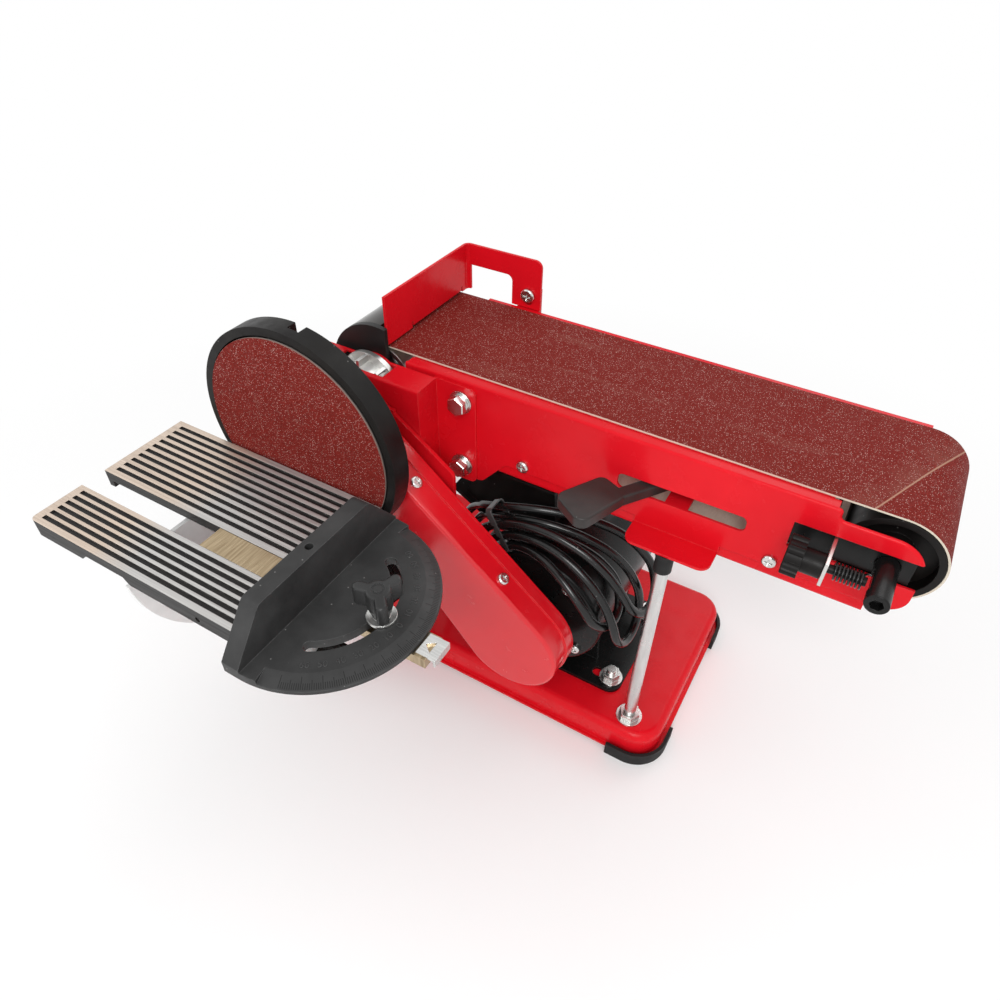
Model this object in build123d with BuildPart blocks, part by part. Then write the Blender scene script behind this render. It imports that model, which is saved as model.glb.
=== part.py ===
from build123d import *
import math
import os

# Bench belt and disc sander. Millimetres, +Z up.
# +X runs along the belt to its idler nose, -Y is the side of the sanding disc. The sizes
# below are measured from the middle of the base; each finished piece is then moved so that
# the origin lies on the floor under the middle of the whole machine.

os.makedirs("parts", exist_ok=True)

# Sheet and fits
sheet = 2.0                  # pressed red parts
seat_gap = 0.3               # air between neighbouring pieces
run_gap = 0.05               # radial fit of a turning shaft
press_gap = 0.02             # radial fit of pieces that stay together
slide_gap = 0.25             # side clearance of sliding bars

# Fasteners
bolt_radius = 4.0
bolt_across = 13.0
bolt_head = 5.5
cover_screw_radius = 2.0
lock_bolt_radius = 3.0

# Sanding belt and its drums
belt_width = 101.6
belt_length = 914.0
belt_thickness = 1.3
belt_gap = 0.4               # between belt and drums
belt_top = 300.0             # height of the sanding face
drive_drum_radius = 23.3
idler_drum_radius = 29.8
drum_overhang = 0.7          # drums stand proud of the belt's edges
drive_x = -108.0

# Belt frame
edge_room = 7.2              # between belt edge and side plate
frame_drop = 1.8             # side plate's top below the sanding face
flange_gap = 0.6             # between the frame's top flange and the belt's edge
frame_left = -80.0
nose_reach = 19.0            # side plate past the idler axis
axle_slot = 20.0             # height of the slot for the idler axle
axle_slot_length = 56.0
frame_bottom = 237.0
pivot_lug_radius = 21.0
shelf_drop = 7.0             # shelf for the support rod below the side plate
shelf_length = 60.0
lower_drop = 12.0            # floor of the lower cover below the side plate

# Bearing carrier and arm bracket
carrier_radius = 26.0
carrier_hub_radius = 20.0
carrier_flange = 4.0
carrier_front_radius = 18.0
carrier_rear_radius = 16.0
spigot_radius = 14.0
bracket_depth = 25.0
bracket_left = -152.0
bracket_right = -52.0
bracket_top = 295.0
bracket_bottom = 220.0

# Column, drive cover and disc
column_plate = 3.0
column_left = -150.0
column_right = -72.0
pan_offset = 9.0             # from the column's front to the pan
cover_depth = 26.3
cover_lobe_drive = 21.2
cover_lobe_motor = 41.0
cover_step = 1.5
disc_radius = 75.0
disc_thickness = 10.0
paper_thickness = 1.2
guard_offset = 8.2           # from the cover's face to the guard
guard_depth = 15.5
guard_ring = 6.0
disc_rim_gap = 1.0

# Shafts, pulleys and bearings
shaft_radius = 6.0
drive_pulley_radius = 14.0
motor_pulley_radius = 28.0
pulley_width = 14.0
drive_belt_thickness = 3.0
bearing_radius = 11.0
bearing_width = 8.0

# Motor
motor_x = 46.8
motor_z = 120.6
motor_radius = 55.4
motor_front = -79.8
motor_length = 145.8
motor_cap = 14.0
motor_wall = 4.0
motor_shaft_radius = 7.0
rotor_radius = 29.0
air_gap = 0.5
motor_bearing_radius = 14.0

# Base
base_length = 340.0
base_depth = 190.0
base_top = 32.0
base_corner = 26.0
base_lip = 3.0
foot_floor = 5.0
foot_height = 13.0
foot_leg = 44.0
foot_wall = 3.0              # rubber outside the base's edge

# Support rod
rod_inset_x = 32.0           # from the base's right end
rod_inset_y = 20.0           # from the base's front edge
rod_radius = 5.0
rod_thread_radius = 4.0
rod_nut_flange = 10.8
cap_radius = 6.3
cap_length = 17.0

# Table
table_height = 247.0
table_depth = 127.0
table_left_reach = 120.0     # from the disc's axis
table_right_reach = 70.0
table_plate = 8.0
table_skirt = 13.5
table_gap = 2.0
table_max_tilt = 45.0
miter_slot_width = 18.5
miter_slot_y = -231.0
quadrant_radius = 113.0
quadrant_slot_radius = 102.0
quadrant_plate = 3.0
quadrant_spread = 44.0       # inner face of each quadrant from the disc's axis
ear_plate = 4.0
lock_direction = 62.0        # degrees below the table where the lock bolt sits
pivot_drop = 11.0            # tilt axis below the table's underside
pivot_back = 9.7             # tilt axis in front of the table's rear edge
pivot_radius = 4.0

# Miter gauge
miter_bar_thickness = 7.4
miter_pivot_x = -20.0
bar_left_reach = 95.0        # bar's ends from the pivot
bar_right_reach = 78.0
miter_radius = 70.0
miter_plate = 6.0
miter_band = 9.5             # bevelled scale round the rim
miter_band_fall = 3.7
miter_band_half = 80.0       # degrees of the scale either side
miter_slot_radius = 43.0
fence_thickness = 11.8
fence_height = 38.0          # above the table
fence_half_top = 46.5

# Cord
cord_radius = 3.5
cord_fold = 22.0             # radius of the hank's end folds
cord_waist = 4.3             # half the spacing of the two runs at the tie
hank_pitch = 10.6            # from layer to layer
hank_y = -70.8               # middle of the hank across the motor
hank_waist_angle = 118.0     # degrees round the motor's axis
hank_left_angle = 150.0
hank_right_ends = [(36.0, 0.0), (14.0, 10.0), (31.0, 22.0)]  # angle and shift across, by loop
turn_run = 27.0              # each run of the cord's free turn into the gland

# Positions that follow from the sizes above
half_belt = belt_width / 2
drive_reach = drive_drum_radius + belt_gap + belt_thickness
idler_reach = idler_drum_radius + belt_gap + belt_thickness
drive_z = belt_top - drive_reach
idler_z = belt_top - idler_reach
belt_span = belt_length / 2
for _ in range(20):
    lean = math.atan2(idler_reach - drive_reach, belt_span)
    wrapped = (idler_reach - belt_thickness / 2) * (math.pi + 2 * lean)
    wrapped += (drive_reach - belt_thickness / 2) * (math.pi - 2 * lean)
    belt_span = (belt_length - wrapped) / 2
idler_x = drive_x + belt_span

frame_inner = -half_belt - edge_room
frame_face = frame_inner - sheet
bracket_face = frame_face - bracket_depth
column_back = bracket_face - 0.5
column_front = column_back - column_plate
pan_back = column_front - pan_offset
pan_front = pan_back - sheet
cover_face = pan_front - cover_depth
guard_back = cover_face - guard_offset
guard_front = guard_back - guard_depth
paper_back = guard_front - 0.1
paper_face = paper_back - paper_thickness
guard_inner = disc_radius + disc_rim_gap
guard_outer = guard_inner + guard_ring
motor_back = motor_front + motor_length
pulley_front = cover_face + sheet + 3
pulley_back = pulley_front + pulley_width

rod_x = base_length / 2 - rod_inset_x
rod_y = -base_depth / 2 + rod_inset_y
shelf_height = frame_bottom - shelf_drop
shelf_left = rod_x - shelf_length / 2
shelf_right = rod_x + shelf_length / 2
lower_floor = frame_bottom - lower_drop

table_left = drive_x - table_left_reach
table_right = drive_x + table_right_reach
table_rear = paper_face - table_gap
table_front = table_rear - table_depth
table_under = table_height - table_plate
tilt_y = table_rear - pivot_back
tilt_z = table_under - pivot_drop

hank_loops = len(hank_right_ends)
turn_slant = turn_run * math.sqrt(0.5)
cord_turn = turn_run + 2 * turn_slant

# Middle of the whole machine: table to belt nose, miter gauge to rear feet
machine_x = (table_left + idler_x + idler_reach) / 2
machine_y = (miter_slot_y - miter_radius + base_depth / 2 + foot_wall) / 2


def save(builder, node):
    """Labels a finished piece, brings it to the machine's origin and writes it as its own file."""
    placed = builder.part.moved(Location((-machine_x, -machine_y, 0)))
    placed.label = node
    export_step(placed, f"parts/{node}.step")


def side_plane(y):
    """Plane facing the disc side at this y: drawn in (x, z), extruded toward -Y."""
    return Plane.XZ.offset(-y)


def end_plane(x):
    """Plane facing the nose at this x: drawn in (y, z), extruded toward +X."""
    return Plane.YZ.offset(x)


def outline(*corners):
    """A closed outline from (x, y, corner radius) triples."""
    with BuildLine() as edge:
        FilletPolyline(
            *[(x, y) for x, y, _ in corners],
            radius=[r for _, _, r in corners],
            close=True,
        )
    make_face(edge.edges())


def wrap(ends, extra=0.0, mode=Mode.ADD):
    """The outline that hugs two circles, given as two (x, z, radius) triples."""
    (x1, z1, r1), (x2, z2, r2) = ends
    r1 += extra
    r2 += extra
    heading = math.atan2(z2 - z1, x2 - x1)
    turn = math.acos((r1 - r2) / math.hypot(x2 - x1, z2 - z1))
    corners = []
    for x, z, r, angle in (
        (x1, z1, r1, heading + turn),
        (x2, z2, r2, heading + turn),
        (x2, z2, r2, heading - turn),
        (x1, z1, r1, heading - turn),
    ):
        corners.append((x + r * math.cos(angle), z + r * math.sin(angle)))
    Polygon(*corners, align=None, mode=mode)
    with Locations((x1, z1)):
        Circle(r1, mode=mode)
    with Locations((x2, z2)):
        Circle(r2, mode=mode)


def disc_at(x, z, radius, mode=Mode.ADD):
    """A circle at a point of the current sketch."""
    with Locations((x, z)):
        Circle(radius, mode=mode)


def box_at(x0, x1, z0, z1, mode=Mode.ADD):
    """A rectangle between two corners of the current sketch."""
    with Locations(((x0 + x1) / 2, (z0 + z1) / 2)):
        Rectangle(x1 - x0, z1 - z0, mode=mode)


def hex_bolt(across, head, shank, length, washer=0.0):
    """A hex bolt seated at z = 0, shank pointing down; a flat and a spring washer are optional."""
    flat = 1.6 if washer else 0.0
    spring = 1.8 if washer else 0.0
    with BuildPart() as body:
        with BuildSketch():
            Circle(shank)
        extrude(amount=-length)
        if washer:
            with BuildSketch():
                Circle(washer)
            extrude(amount=flat)
            with BuildSketch(Plane.XY.offset(flat)):
                Circle(across * 0.55)
            extrude(amount=spring)
        with BuildSketch(Plane.XY.offset(flat + spring)):
            RegularPolygon(across / 2, 6, major_radius=False)
        extrude(amount=head)
        chamfer(body.faces().sort_by(Axis.Z)[-1].edges(), 0.6)
    return body.part


def pan_screw(head_radius, head, shank, length):
    """A cross-recessed pan head screw seated at z = 0, shank pointing down."""
    with BuildPart() as body:
        with BuildSketch():
            Circle(head_radius)
        extrude(amount=head)
        fillet(body.faces().sort_by(Axis.Z)[-1].edges(), head * 0.6)
        with BuildSketch(Plane.XY.offset(head)):
            Rectangle(head_radius * 1.1, head_radius * 0.25)
            Rectangle(head_radius * 0.25, head_radius * 1.1)
        extrude(amount=-head * 0.6, mode=Mode.SUBTRACT)
        with BuildSketch():
            Circle(shank)
        extrude(amount=-length)
    return body.part


def hex_nut(across, height, bore, flange=0.0):
    """A hex nut standing on z = 0, with a flange when a radius is given."""
    with BuildPart() as body:
        if flange:
            with BuildSketch():
                Circle(flange)
            extrude(amount=2)
        with BuildSketch():
            RegularPolygon(across / 2, 6, major_radius=False)
        extrude(amount=height)
        with BuildSketch():
            Circle(bore)
        extrude(amount=height, mode=Mode.SUBTRACT)
    return body.part


def facing(point, direction):
    """Where a fastener sits: its seat point and the way its head looks."""
    return Plane(origin=point, z_dir=direction).location


TOWARD_DISC = (0, -1, 0)
DOWN = (0, 0, -1)

# Base tray: a pressed pan with a rolled top edge and a small outward lip
column_bolt_spots = [
    (column_left + 16, column_back + 9.5),
    (column_right - 16, column_back + 9.5),
]
motor_foot_x = 62.8          # fixing slots either side of the motor's axis
motor_foot_front = -49.4
motor_foot_rear = 34.0
motor_bolt_spots = [
    (motor_x + side * motor_foot_x, y)
    for side in (-1, 1)
    for y in (motor_foot_front, motor_foot_rear)
]


def rolled_block(inset, height, roll):
    """A block inside the base's footprint whose top edge is rounded."""
    with BuildPart() as block:
        with BuildSketch(Plane.XY.offset(foot_floor)):
            RectangleRounded(base_length - 2 * inset, base_depth - 2 * inset, base_corner - inset)
        extrude(amount=height)
        fillet(block.faces().sort_by(Axis.Z)[-1].edges(), roll)
    return block.part


roll_radius = 7.0
with BuildPart() as base_tray:
    add(rolled_block(base_lip, base_top - foot_floor, roll_radius))
    add(
        rolled_block(base_lip + sheet, base_top - foot_floor - sheet, roll_radius - sheet),
        mode=Mode.SUBTRACT,
    )
    with BuildSketch(Plane.XY.offset(foot_floor)):
        RectangleRounded(base_length, base_depth, base_corner)
        RectangleRounded(
            base_length - 2 * base_lip - 2 * sheet,
            base_depth - 2 * base_lip - 2 * sheet,
            base_corner - base_lip - sheet,
            mode=Mode.SUBTRACT,
        )
    extrude(amount=sheet)
    with BuildSketch(Plane.XY.offset(base_top)):
        disc_at(rod_x, rod_y, rod_thread_radius + 0.3)
        for x, y in column_bolt_spots + motor_bolt_spots:
            disc_at(x, y, bolt_radius + seat_gap)
    extrude(amount=-3 * sheet, mode=Mode.SUBTRACT)
save(base_tray, "base_tray")

with BuildPart() as rubber_feet:
    with BuildSketch():
        foot_length = base_length + 2 * foot_wall
        foot_depth = base_depth + 2 * foot_wall
        RectangleRounded(foot_length, foot_depth, base_corner + foot_wall)
        RectangleRounded(base_length - 28, base_depth - 28, base_corner - 14, mode=Mode.SUBTRACT)
        with GridLocations(foot_length - foot_leg, foot_depth - foot_leg, 2, 2):
            Rectangle(foot_leg, foot_leg, mode=Mode.INTERSECT)
    extrude(amount=foot_height)
    with BuildSketch(Plane.XY.offset(foot_floor)):
        RectangleRounded(base_length + 0.4, base_depth + 0.4, base_corner + 0.2)
    extrude(amount=foot_height, mode=Mode.SUBTRACT)
save(rubber_feet, "rubber_feet")

# Support rod under the arm's shelf
cap_bottom = shelf_height - cap_length
rod_top = shelf_height - 5
thread_top = base_top + 11
with BuildPart() as support_rod:
    with BuildSketch(Plane.XY.offset(base_top - 13)):
        disc_at(rod_x, rod_y, rod_thread_radius)
    extrude(amount=thread_top - base_top + 13)
    with BuildSketch(Plane.XY.offset(thread_top)):
        disc_at(rod_x, rod_y, rod_radius)
    extrude(amount=rod_top - thread_top)
save(support_rod, "support_rod")

with BuildPart() as rod_cap:
    with BuildSketch(Plane.XY.offset(cap_bottom)):
        disc_at(rod_x, rod_y, cap_radius)
    extrude(amount=cap_length)
    with BuildSketch(Plane.XY.offset(shelf_height - 3)):
        disc_at(rod_x, rod_y, cap_radius + 0.8)
    extrude(amount=3)
    with BuildSketch(Plane.XY.offset(cap_bottom)):
        disc_at(rod_x, rod_y, rod_radius + press_gap)
    extrude(amount=rod_top - cap_bottom, mode=Mode.SUBTRACT)
save(rod_cap, "rod_cap")

# Motor bracket: a footed saddle
foot_plate = 3.0
saddle_front = -38.0
saddle_rear = 26.0
saddle_wall = 4.0
saddle_half = 40.0
plate_half = motor_foot_x + 11
plate_front = -63.3
plate_back = 48.0
with BuildPart() as motor_bracket:
    with BuildSketch(Plane.XY.offset(base_top)):
        with Locations((motor_x, (plate_front + plate_back) / 2)):
            RectangleRounded(2 * plate_half, plate_back - plate_front, 11)
        for x, y in motor_bolt_spots:
            with Locations((x - 5, y)):
                SlotOverall(24, 9, mode=Mode.SUBTRACT)
    extrude(amount=foot_plate)
    for rear in (saddle_front + saddle_wall, saddle_rear + saddle_wall):
        with BuildSketch(side_plane(rear)):
            outline(
                (motor_x - saddle_half - 4, base_top + foot_plate, 0),
                (motor_x + saddle_half + 4, base_top + foot_plate, 0),
                (motor_x + saddle_half, motor_z - 18, 6),
                (motor_x - saddle_half, motor_z - 18, 6),
            )
            disc_at(motor_x, motor_z, motor_radius + press_gap, Mode.SUBTRACT)
        extrude(amount=saddle_wall)
save(motor_bracket, "motor_bracket")

washer_radius = 10.0
washer_thickness = 1.6
nut_height = 6.5
thread_end = 4.0             # thread showing above the nut
nut_seat = base_top + foot_plate + washer_thickness
with BuildPart() as motor_mount_fasteners:
    for x, y in motor_bolt_spots:
        with Locations(facing((x, y, base_top - sheet), DOWN)):
            shank = nut_seat + nut_height + thread_end - base_top + sheet
            add(hex_bolt(bolt_across, bolt_head, bolt_radius, shank))
        with BuildSketch(Plane.XY.offset(base_top + foot_plate)):
            disc_at(x, y, washer_radius)
            disc_at(x, y, bolt_radius + press_gap, Mode.SUBTRACT)
        extrude(amount=washer_thickness)
        with Locations((x, y, nut_seat)):
            add(hex_nut(bolt_across, nut_height, bolt_radius + press_gap))
save(motor_mount_fasteners, "motor_mount_fasteners")

# Motor
cap_screw_reach = 46.0
cap_screw_angles = [325, 55, 145, 235]
cap_screw_spots = [
    (
        motor_x + cap_screw_reach * math.cos(math.radians(a)),
        motor_z + cap_screw_reach * math.sin(math.radians(a)),
    )
    for a in cap_screw_angles
]
shell_front = motor_front + motor_cap
shell_back = motor_back - motor_cap
with BuildPart() as motor_shell:
    with BuildSketch(side_plane(shell_back)):
        disc_at(motor_x, motor_z, motor_radius)
        disc_at(motor_x, motor_z, motor_radius - motor_wall, Mode.SUBTRACT)
    extrude(amount=shell_back - shell_front)
save(motor_shell, "motor_shell")

motor_seat = motor_bearing_radius + press_gap
with BuildPart() as motor_front_cap:
    with BuildSketch(side_plane(shell_front)):
        disc_at(motor_x, motor_z, motor_radius)
    extrude(amount=motor_cap)
    fillet(motor_front_cap.faces().sort_by(Axis.Y)[0].edges(), 4)
    with BuildSketch(side_plane(shell_front)):
        disc_at(motor_x, motor_z, motor_radius - 2 * motor_wall)
        disc_at(motor_x, motor_z, motor_bearing_radius + 5, Mode.SUBTRACT)
    extrude(amount=motor_cap - 4, mode=Mode.SUBTRACT)
    with BuildSketch(side_plane(shell_front)):
        disc_at(motor_x, motor_z, motor_seat)
    extrude(amount=motor_cap - 3, mode=Mode.SUBTRACT)
    with BuildSketch(side_plane(shell_front)):
        disc_at(motor_x, motor_z, motor_shaft_radius + 1)
        for x, z in cap_screw_spots:
            disc_at(x, z, 2.5 + press_gap)
    extrude(amount=motor_cap, mode=Mode.SUBTRACT)
save(motor_front_cap, "motor_front_cap")

with BuildPart() as motor_rear_cap:
    with BuildSketch(side_plane(motor_back)):
        disc_at(motor_x, motor_z, motor_radius)
    extrude(amount=motor_cap)
    fillet(motor_rear_cap.faces().sort_by(Axis.Y)[-1].edges(), 6)
    with BuildSketch(side_plane(motor_back - 4)):
        disc_at(motor_x, motor_z, motor_radius - 2 * motor_wall)
        disc_at(motor_x, motor_z, motor_bearing_radius + 5, Mode.SUBTRACT)
    extrude(amount=motor_cap - 4, mode=Mode.SUBTRACT)
    with BuildSketch(side_plane(motor_back - 3)):
        disc_at(motor_x, motor_z, motor_seat)
    extrude(amount=motor_cap, mode=Mode.SUBTRACT)
    with BuildSketch(side_plane(motor_back)):
        with Locations((motor_x, motor_z)):
            with PolarLocations(34, 10):
                SlotOverall(14, 5, mode=Mode.ADD)
    extrude(amount=motor_cap, mode=Mode.SUBTRACT)
save(motor_rear_cap, "motor_rear_cap")

with BuildPart() as motor_cap_screws:
    for x, z in cap_screw_spots:
        with Locations(facing((x, motor_front, z), TOWARD_DISC)):
            add(pan_screw(4.6, 3.0, 2.5, motor_cap - 2))
save(motor_cap_screws, "motor_cap_screws")

stator_front = shell_front + 14
stator_back = shell_back - 14
with BuildPart() as motor_stator:
    with BuildSketch(side_plane(stator_back)):
        disc_at(motor_x, motor_z, motor_radius - motor_wall - press_gap)
        disc_at(motor_x, motor_z, rotor_radius + air_gap, Mode.SUBTRACT)
    extrude(amount=stator_back - stator_front)
save(motor_stator, "motor_stator")

# Rotor: laminated core with cast fan blades at the rear end ring
core_bore = motor_shaft_radius + press_gap
with BuildPart() as motor_rotor:
    with BuildSketch(side_plane(stator_back)):
        disc_at(motor_x, motor_z, rotor_radius)
    extrude(amount=stator_back - stator_front)
    with BuildSketch(side_plane(stator_back + 9)):
        with Locations((motor_x, motor_z)):
            with PolarLocations(20, 8):
                Rectangle(14, 2.5)
    extrude(amount=9)
    with BuildSketch(side_plane(stator_back)):
        disc_at(motor_x, motor_z, core_bore)
    extrude(amount=stator_back - stator_front, mode=Mode.SUBTRACT)
save(motor_rotor, "motor_rotor")

motor_bearing_front = shell_front
motor_bearing_rear = shell_back + 9
with BuildPart() as motor_shaft:
    with BuildSketch(side_plane(motor_bearing_rear)):
        disc_at(motor_x, motor_z, motor_shaft_radius)
    extrude(amount=motor_bearing_rear - pulley_front + 1)
save(motor_shaft, "motor_shaft")


def pulley(x, z, radius, bore, node):
    """A flanged pulley with fine grooves for a ribbed belt."""
    with BuildPart() as wheel:
        with BuildSketch(side_plane(pulley_back)):
            disc_at(x, z, radius)
        extrude(amount=pulley_width)
        with BuildSketch(Plane(origin=(x, pulley_back, z), x_dir=(1, 0, 0), z_dir=(0, 0, 1))):
            for step in range(5):
                with Locations((radius - 0.6, -3 - 2 * step)):
                    Rectangle(1.6, 0.8)
        revolve(axis=Axis((x, 0, z), (0, 1, 0)), mode=Mode.SUBTRACT)
        with BuildSketch(side_plane(pulley_back)):
            disc_at(x, z, bore + press_gap)
        extrude(amount=pulley_width, mode=Mode.SUBTRACT)
    save(wheel, node)


pulley(motor_x, motor_z, motor_pulley_radius, motor_shaft_radius, "motor_pulley")
pulley(drive_x, drive_z, drive_pulley_radius, shaft_radius, "drive_pulley")

pulley_ends = [
    (drive_x, drive_z, drive_pulley_radius),
    (motor_x, motor_z, motor_pulley_radius),
]
with BuildPart() as drive_belt:
    with BuildSketch(side_plane(pulley_back - 1)):
        wrap(pulley_ends, seat_gap + drive_belt_thickness)
        wrap(pulley_ends, seat_gap, Mode.SUBTRACT)
    extrude(amount=pulley_width - 2)
save(drive_belt, "drive_belt")

# Terminal box: a tapered hood on the motor, with a sloping underside for the cord's gland
box_left = -52.0
box_right = 46.0
box_front = -44.8
box_back = 25.0
box_low = 128.0
box_room = 20.0              # between the box and the lower cover
box_top = lower_floor - box_room
box_wall = 2.5
left_lean = math.radians(hank_left_angle)
along_left = (-math.sin(left_lean), math.cos(left_lean))
hank_base = motor_radius + 2.1 + cord_radius
gland_reach = hank_base + hank_pitch * hank_loops
gland_x = motor_x + gland_reach * math.cos(left_lean)
gland_z = motor_z + gland_reach * math.sin(left_lean)
gland_y = hank_y + cord_fold + cord_turn
box_span = box_right - box_left + box_back - box_front
switch_x = 12.0
switch_z = 182.0
rocker_radius = 11.0
rocker_width = 13.0
switch_depth = 16.0
rocker_y = box_back - 2.0
with BuildPart() as terminal_box:
    with BuildSketch(Plane.XY.offset(box_low)):
        box_at(box_left, box_right, box_front, box_back)
    with BuildSketch(Plane.XY.offset(box_top)):
        box_at(box_left + 16, box_right - 10, box_front + 9, box_back)
    loft()
    fillet(terminal_box.edges().group_by(Axis.Z)[-1], 3)
    with BuildSketch(Plane.XY.offset(box_low)):
        box_at(box_left + box_wall, box_right - box_wall, box_front + box_wall, box_back - box_wall)
    with BuildSketch(Plane.XY.offset(box_top - box_wall)):
        box_at(
            box_left + 16 + box_wall,
            box_right - 10 - box_wall,
            box_front + 9 + box_wall,
            box_back - box_wall,
        )
    loft(mode=Mode.SUBTRACT)
    with BuildSketch(side_plane(box_back)):
        box_at(switch_x - 11, switch_x + 11, switch_z - 15, switch_z + 15)
    extrude(amount=switch_depth)
    with BuildSketch(end_plane(switch_x - rocker_width / 2 - seat_gap)):
        disc_at(rocker_y, switch_z, rocker_radius + seat_gap)
    extrude(amount=rocker_width + 2 * seat_gap, mode=Mode.SUBTRACT)
    gland_seat = Plane(
        origin=(gland_x, gland_y, gland_z),
        x_dir=(0, 1, 0),
        z_dir=(along_left[0], 0, along_left[1]),
    )
    with BuildSketch(gland_seat.offset(-3)):
        Rectangle(box_span, 60)
    extrude(amount=3)
    with BuildSketch(gland_seat):
        Rectangle(2 * box_span, 2 * box_span)
    extrude(amount=box_span, mode=Mode.SUBTRACT)
    with BuildSketch(Plane.XY.offset(motor_z - motor_radius)):
        box_at(box_left, box_right, box_front, box_back)
    extrude(amount=box_top - motor_z + motor_radius, mode=Mode.INTERSECT)
    with BuildSketch(side_plane(box_back + 10)):
        disc_at(motor_x, motor_z, motor_radius + press_gap)
    extrude(amount=box_back - box_front + 20, mode=Mode.SUBTRACT)
save(terminal_box, "terminal_box")

with BuildPart() as switch_rocker:
    with BuildSketch(end_plane(switch_x - rocker_width / 2)):
        outline(
            (rocker_y - 30, switch_z - 30, 0),
            (rocker_y + 8, switch_z - 30, 0),
            (rocker_y + 6, switch_z, 0),
            (rocker_y + 8, switch_z + 30, 0),
            (rocker_y - 30, switch_z + 30, 0),
        )
        with Locations((rocker_y, switch_z)):
            Circle(rocker_radius, mode=Mode.INTERSECT)
    extrude(amount=rocker_width)
save(switch_rocker, "switch_rocker")

# Column: a sheet upright with a wing toward the drive cover
foot_flange = 19.5
table_bolt_spots = [
    (drive_x + dx, z) for dx in (-28, 28) for z in (base_top + 75, base_top + 101)
]
column_bend = column_back + foot_flange
column_wall_height = 140.0
wing_right = -22.0           # wing between the drive cover and the arm
wing_top = 236.0
wing_low = 205.0
wing_foot = 180.0
with BuildPart() as column:
    with BuildSketch(side_plane(column_back)):
        box_at(column_left, column_right, base_top, drive_z)
        disc_at(drive_x, drive_z, spigot_radius + 5)
        outline(
            (drive_x, drive_z + spigot_radius + 4, 0),
            (drive_x + 12, drive_z + 14, 4),
            (wing_right, wing_top, 8),
            (wing_right, wing_low, 8),
            (column_right, wing_foot, 8),
            (drive_x, wing_foot, 0),
        )
        disc_at(drive_x, drive_z, spigot_radius + press_gap, Mode.SUBTRACT)
        for x, z in table_bolt_spots:
            disc_at(x, z, bolt_radius + press_gap, Mode.SUBTRACT)
    extrude(amount=column_plate)
    with BuildSketch(Plane.XY.offset(base_top)):
        box_at(column_left, column_right, column_back - 1, column_bend)
        for x, y in column_bolt_spots:
            disc_at(x, y, bolt_radius + press_gap, Mode.SUBTRACT)
    extrude(amount=column_plate)
    with BuildSketch(Plane.XY.offset(base_top)):
        for edge_x in (column_left, column_right - column_plate):
            box_at(edge_x, edge_x + column_plate, column_back - 1, column_bend)
    extrude(amount=column_wall_height)
save(column, "column")

# Cross plate and ears that carry the table
cross_front = column_front - ear_plate
ear_inner = quadrant_spread - seat_gap - ear_plate
ear_left = [drive_x - ear_inner - ear_plate, drive_x + ear_inner]
cross_low = base_top + 62
cross_high = base_top + 114
lock_angle = math.radians(180 + lock_direction)
lock_y = tilt_y + quadrant_slot_radius * math.cos(lock_angle)
lock_z = tilt_z + quadrant_slot_radius * math.sin(lock_angle)
lug_radius = pivot_drop - 2
with BuildPart() as table_bracket:
    with BuildSketch(side_plane(column_front)):
        box_at(drive_x - ear_inner - ear_plate, drive_x + ear_inner + ear_plate, cross_low, cross_high)
        for x, z in table_bolt_spots:
            disc_at(x, z, bolt_radius + press_gap, Mode.SUBTRACT)
    extrude(amount=ear_plate)
    for x in ear_left:
        with BuildSketch(end_plane(x)):
            outline(
                (cross_front + 1, cross_low, 0),
                (cross_front + 1, cross_high, 0),
                (guard_back, drive_z - guard_outer - 12, 0),
                (tilt_y + lug_radius, drive_z - guard_outer - 12, 4),
                (tilt_y + lug_radius, tilt_z, 0),
                (tilt_y - lug_radius, tilt_z, 0),
                (tilt_y - lug_radius, tilt_z - 20, 12),
                (lock_y - 9, lock_z + 8, 9),
                (lock_y + 2, lock_z - 13, 9),
            )
            disc_at(tilt_y, tilt_z, lug_radius)
            disc_at(tilt_y, tilt_z, pivot_radius + press_gap, Mode.SUBTRACT)
            disc_at(lock_y, lock_z, lock_bolt_radius + press_gap, Mode.SUBTRACT)
        extrude(amount=ear_plate)
save(table_bracket, "table_bracket")

with BuildPart() as structure_bolts:
    for x, y in column_bolt_spots:
        with Locations((x, y, base_top + column_plate)):
            add(hex_bolt(bolt_across, bolt_head, bolt_radius, column_plate + 8))
    for x, z in table_bolt_spots:
        with Locations(facing((x, cross_front, z), TOWARD_DISC)):
            add(hex_bolt(bolt_across, bolt_head, bolt_radius, ear_plate + column_plate + 3))
    with Locations((rod_x, rod_y, base_top)):
        add(hex_nut(15, 8, rod_thread_radius + press_gap, flange=rod_nut_flange))
    with Locations((rod_x, rod_y, base_top - sheet - 8)):
        add(hex_nut(15, 8, rod_thread_radius + press_gap))
save(structure_bolts, "structure_bolts")

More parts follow.
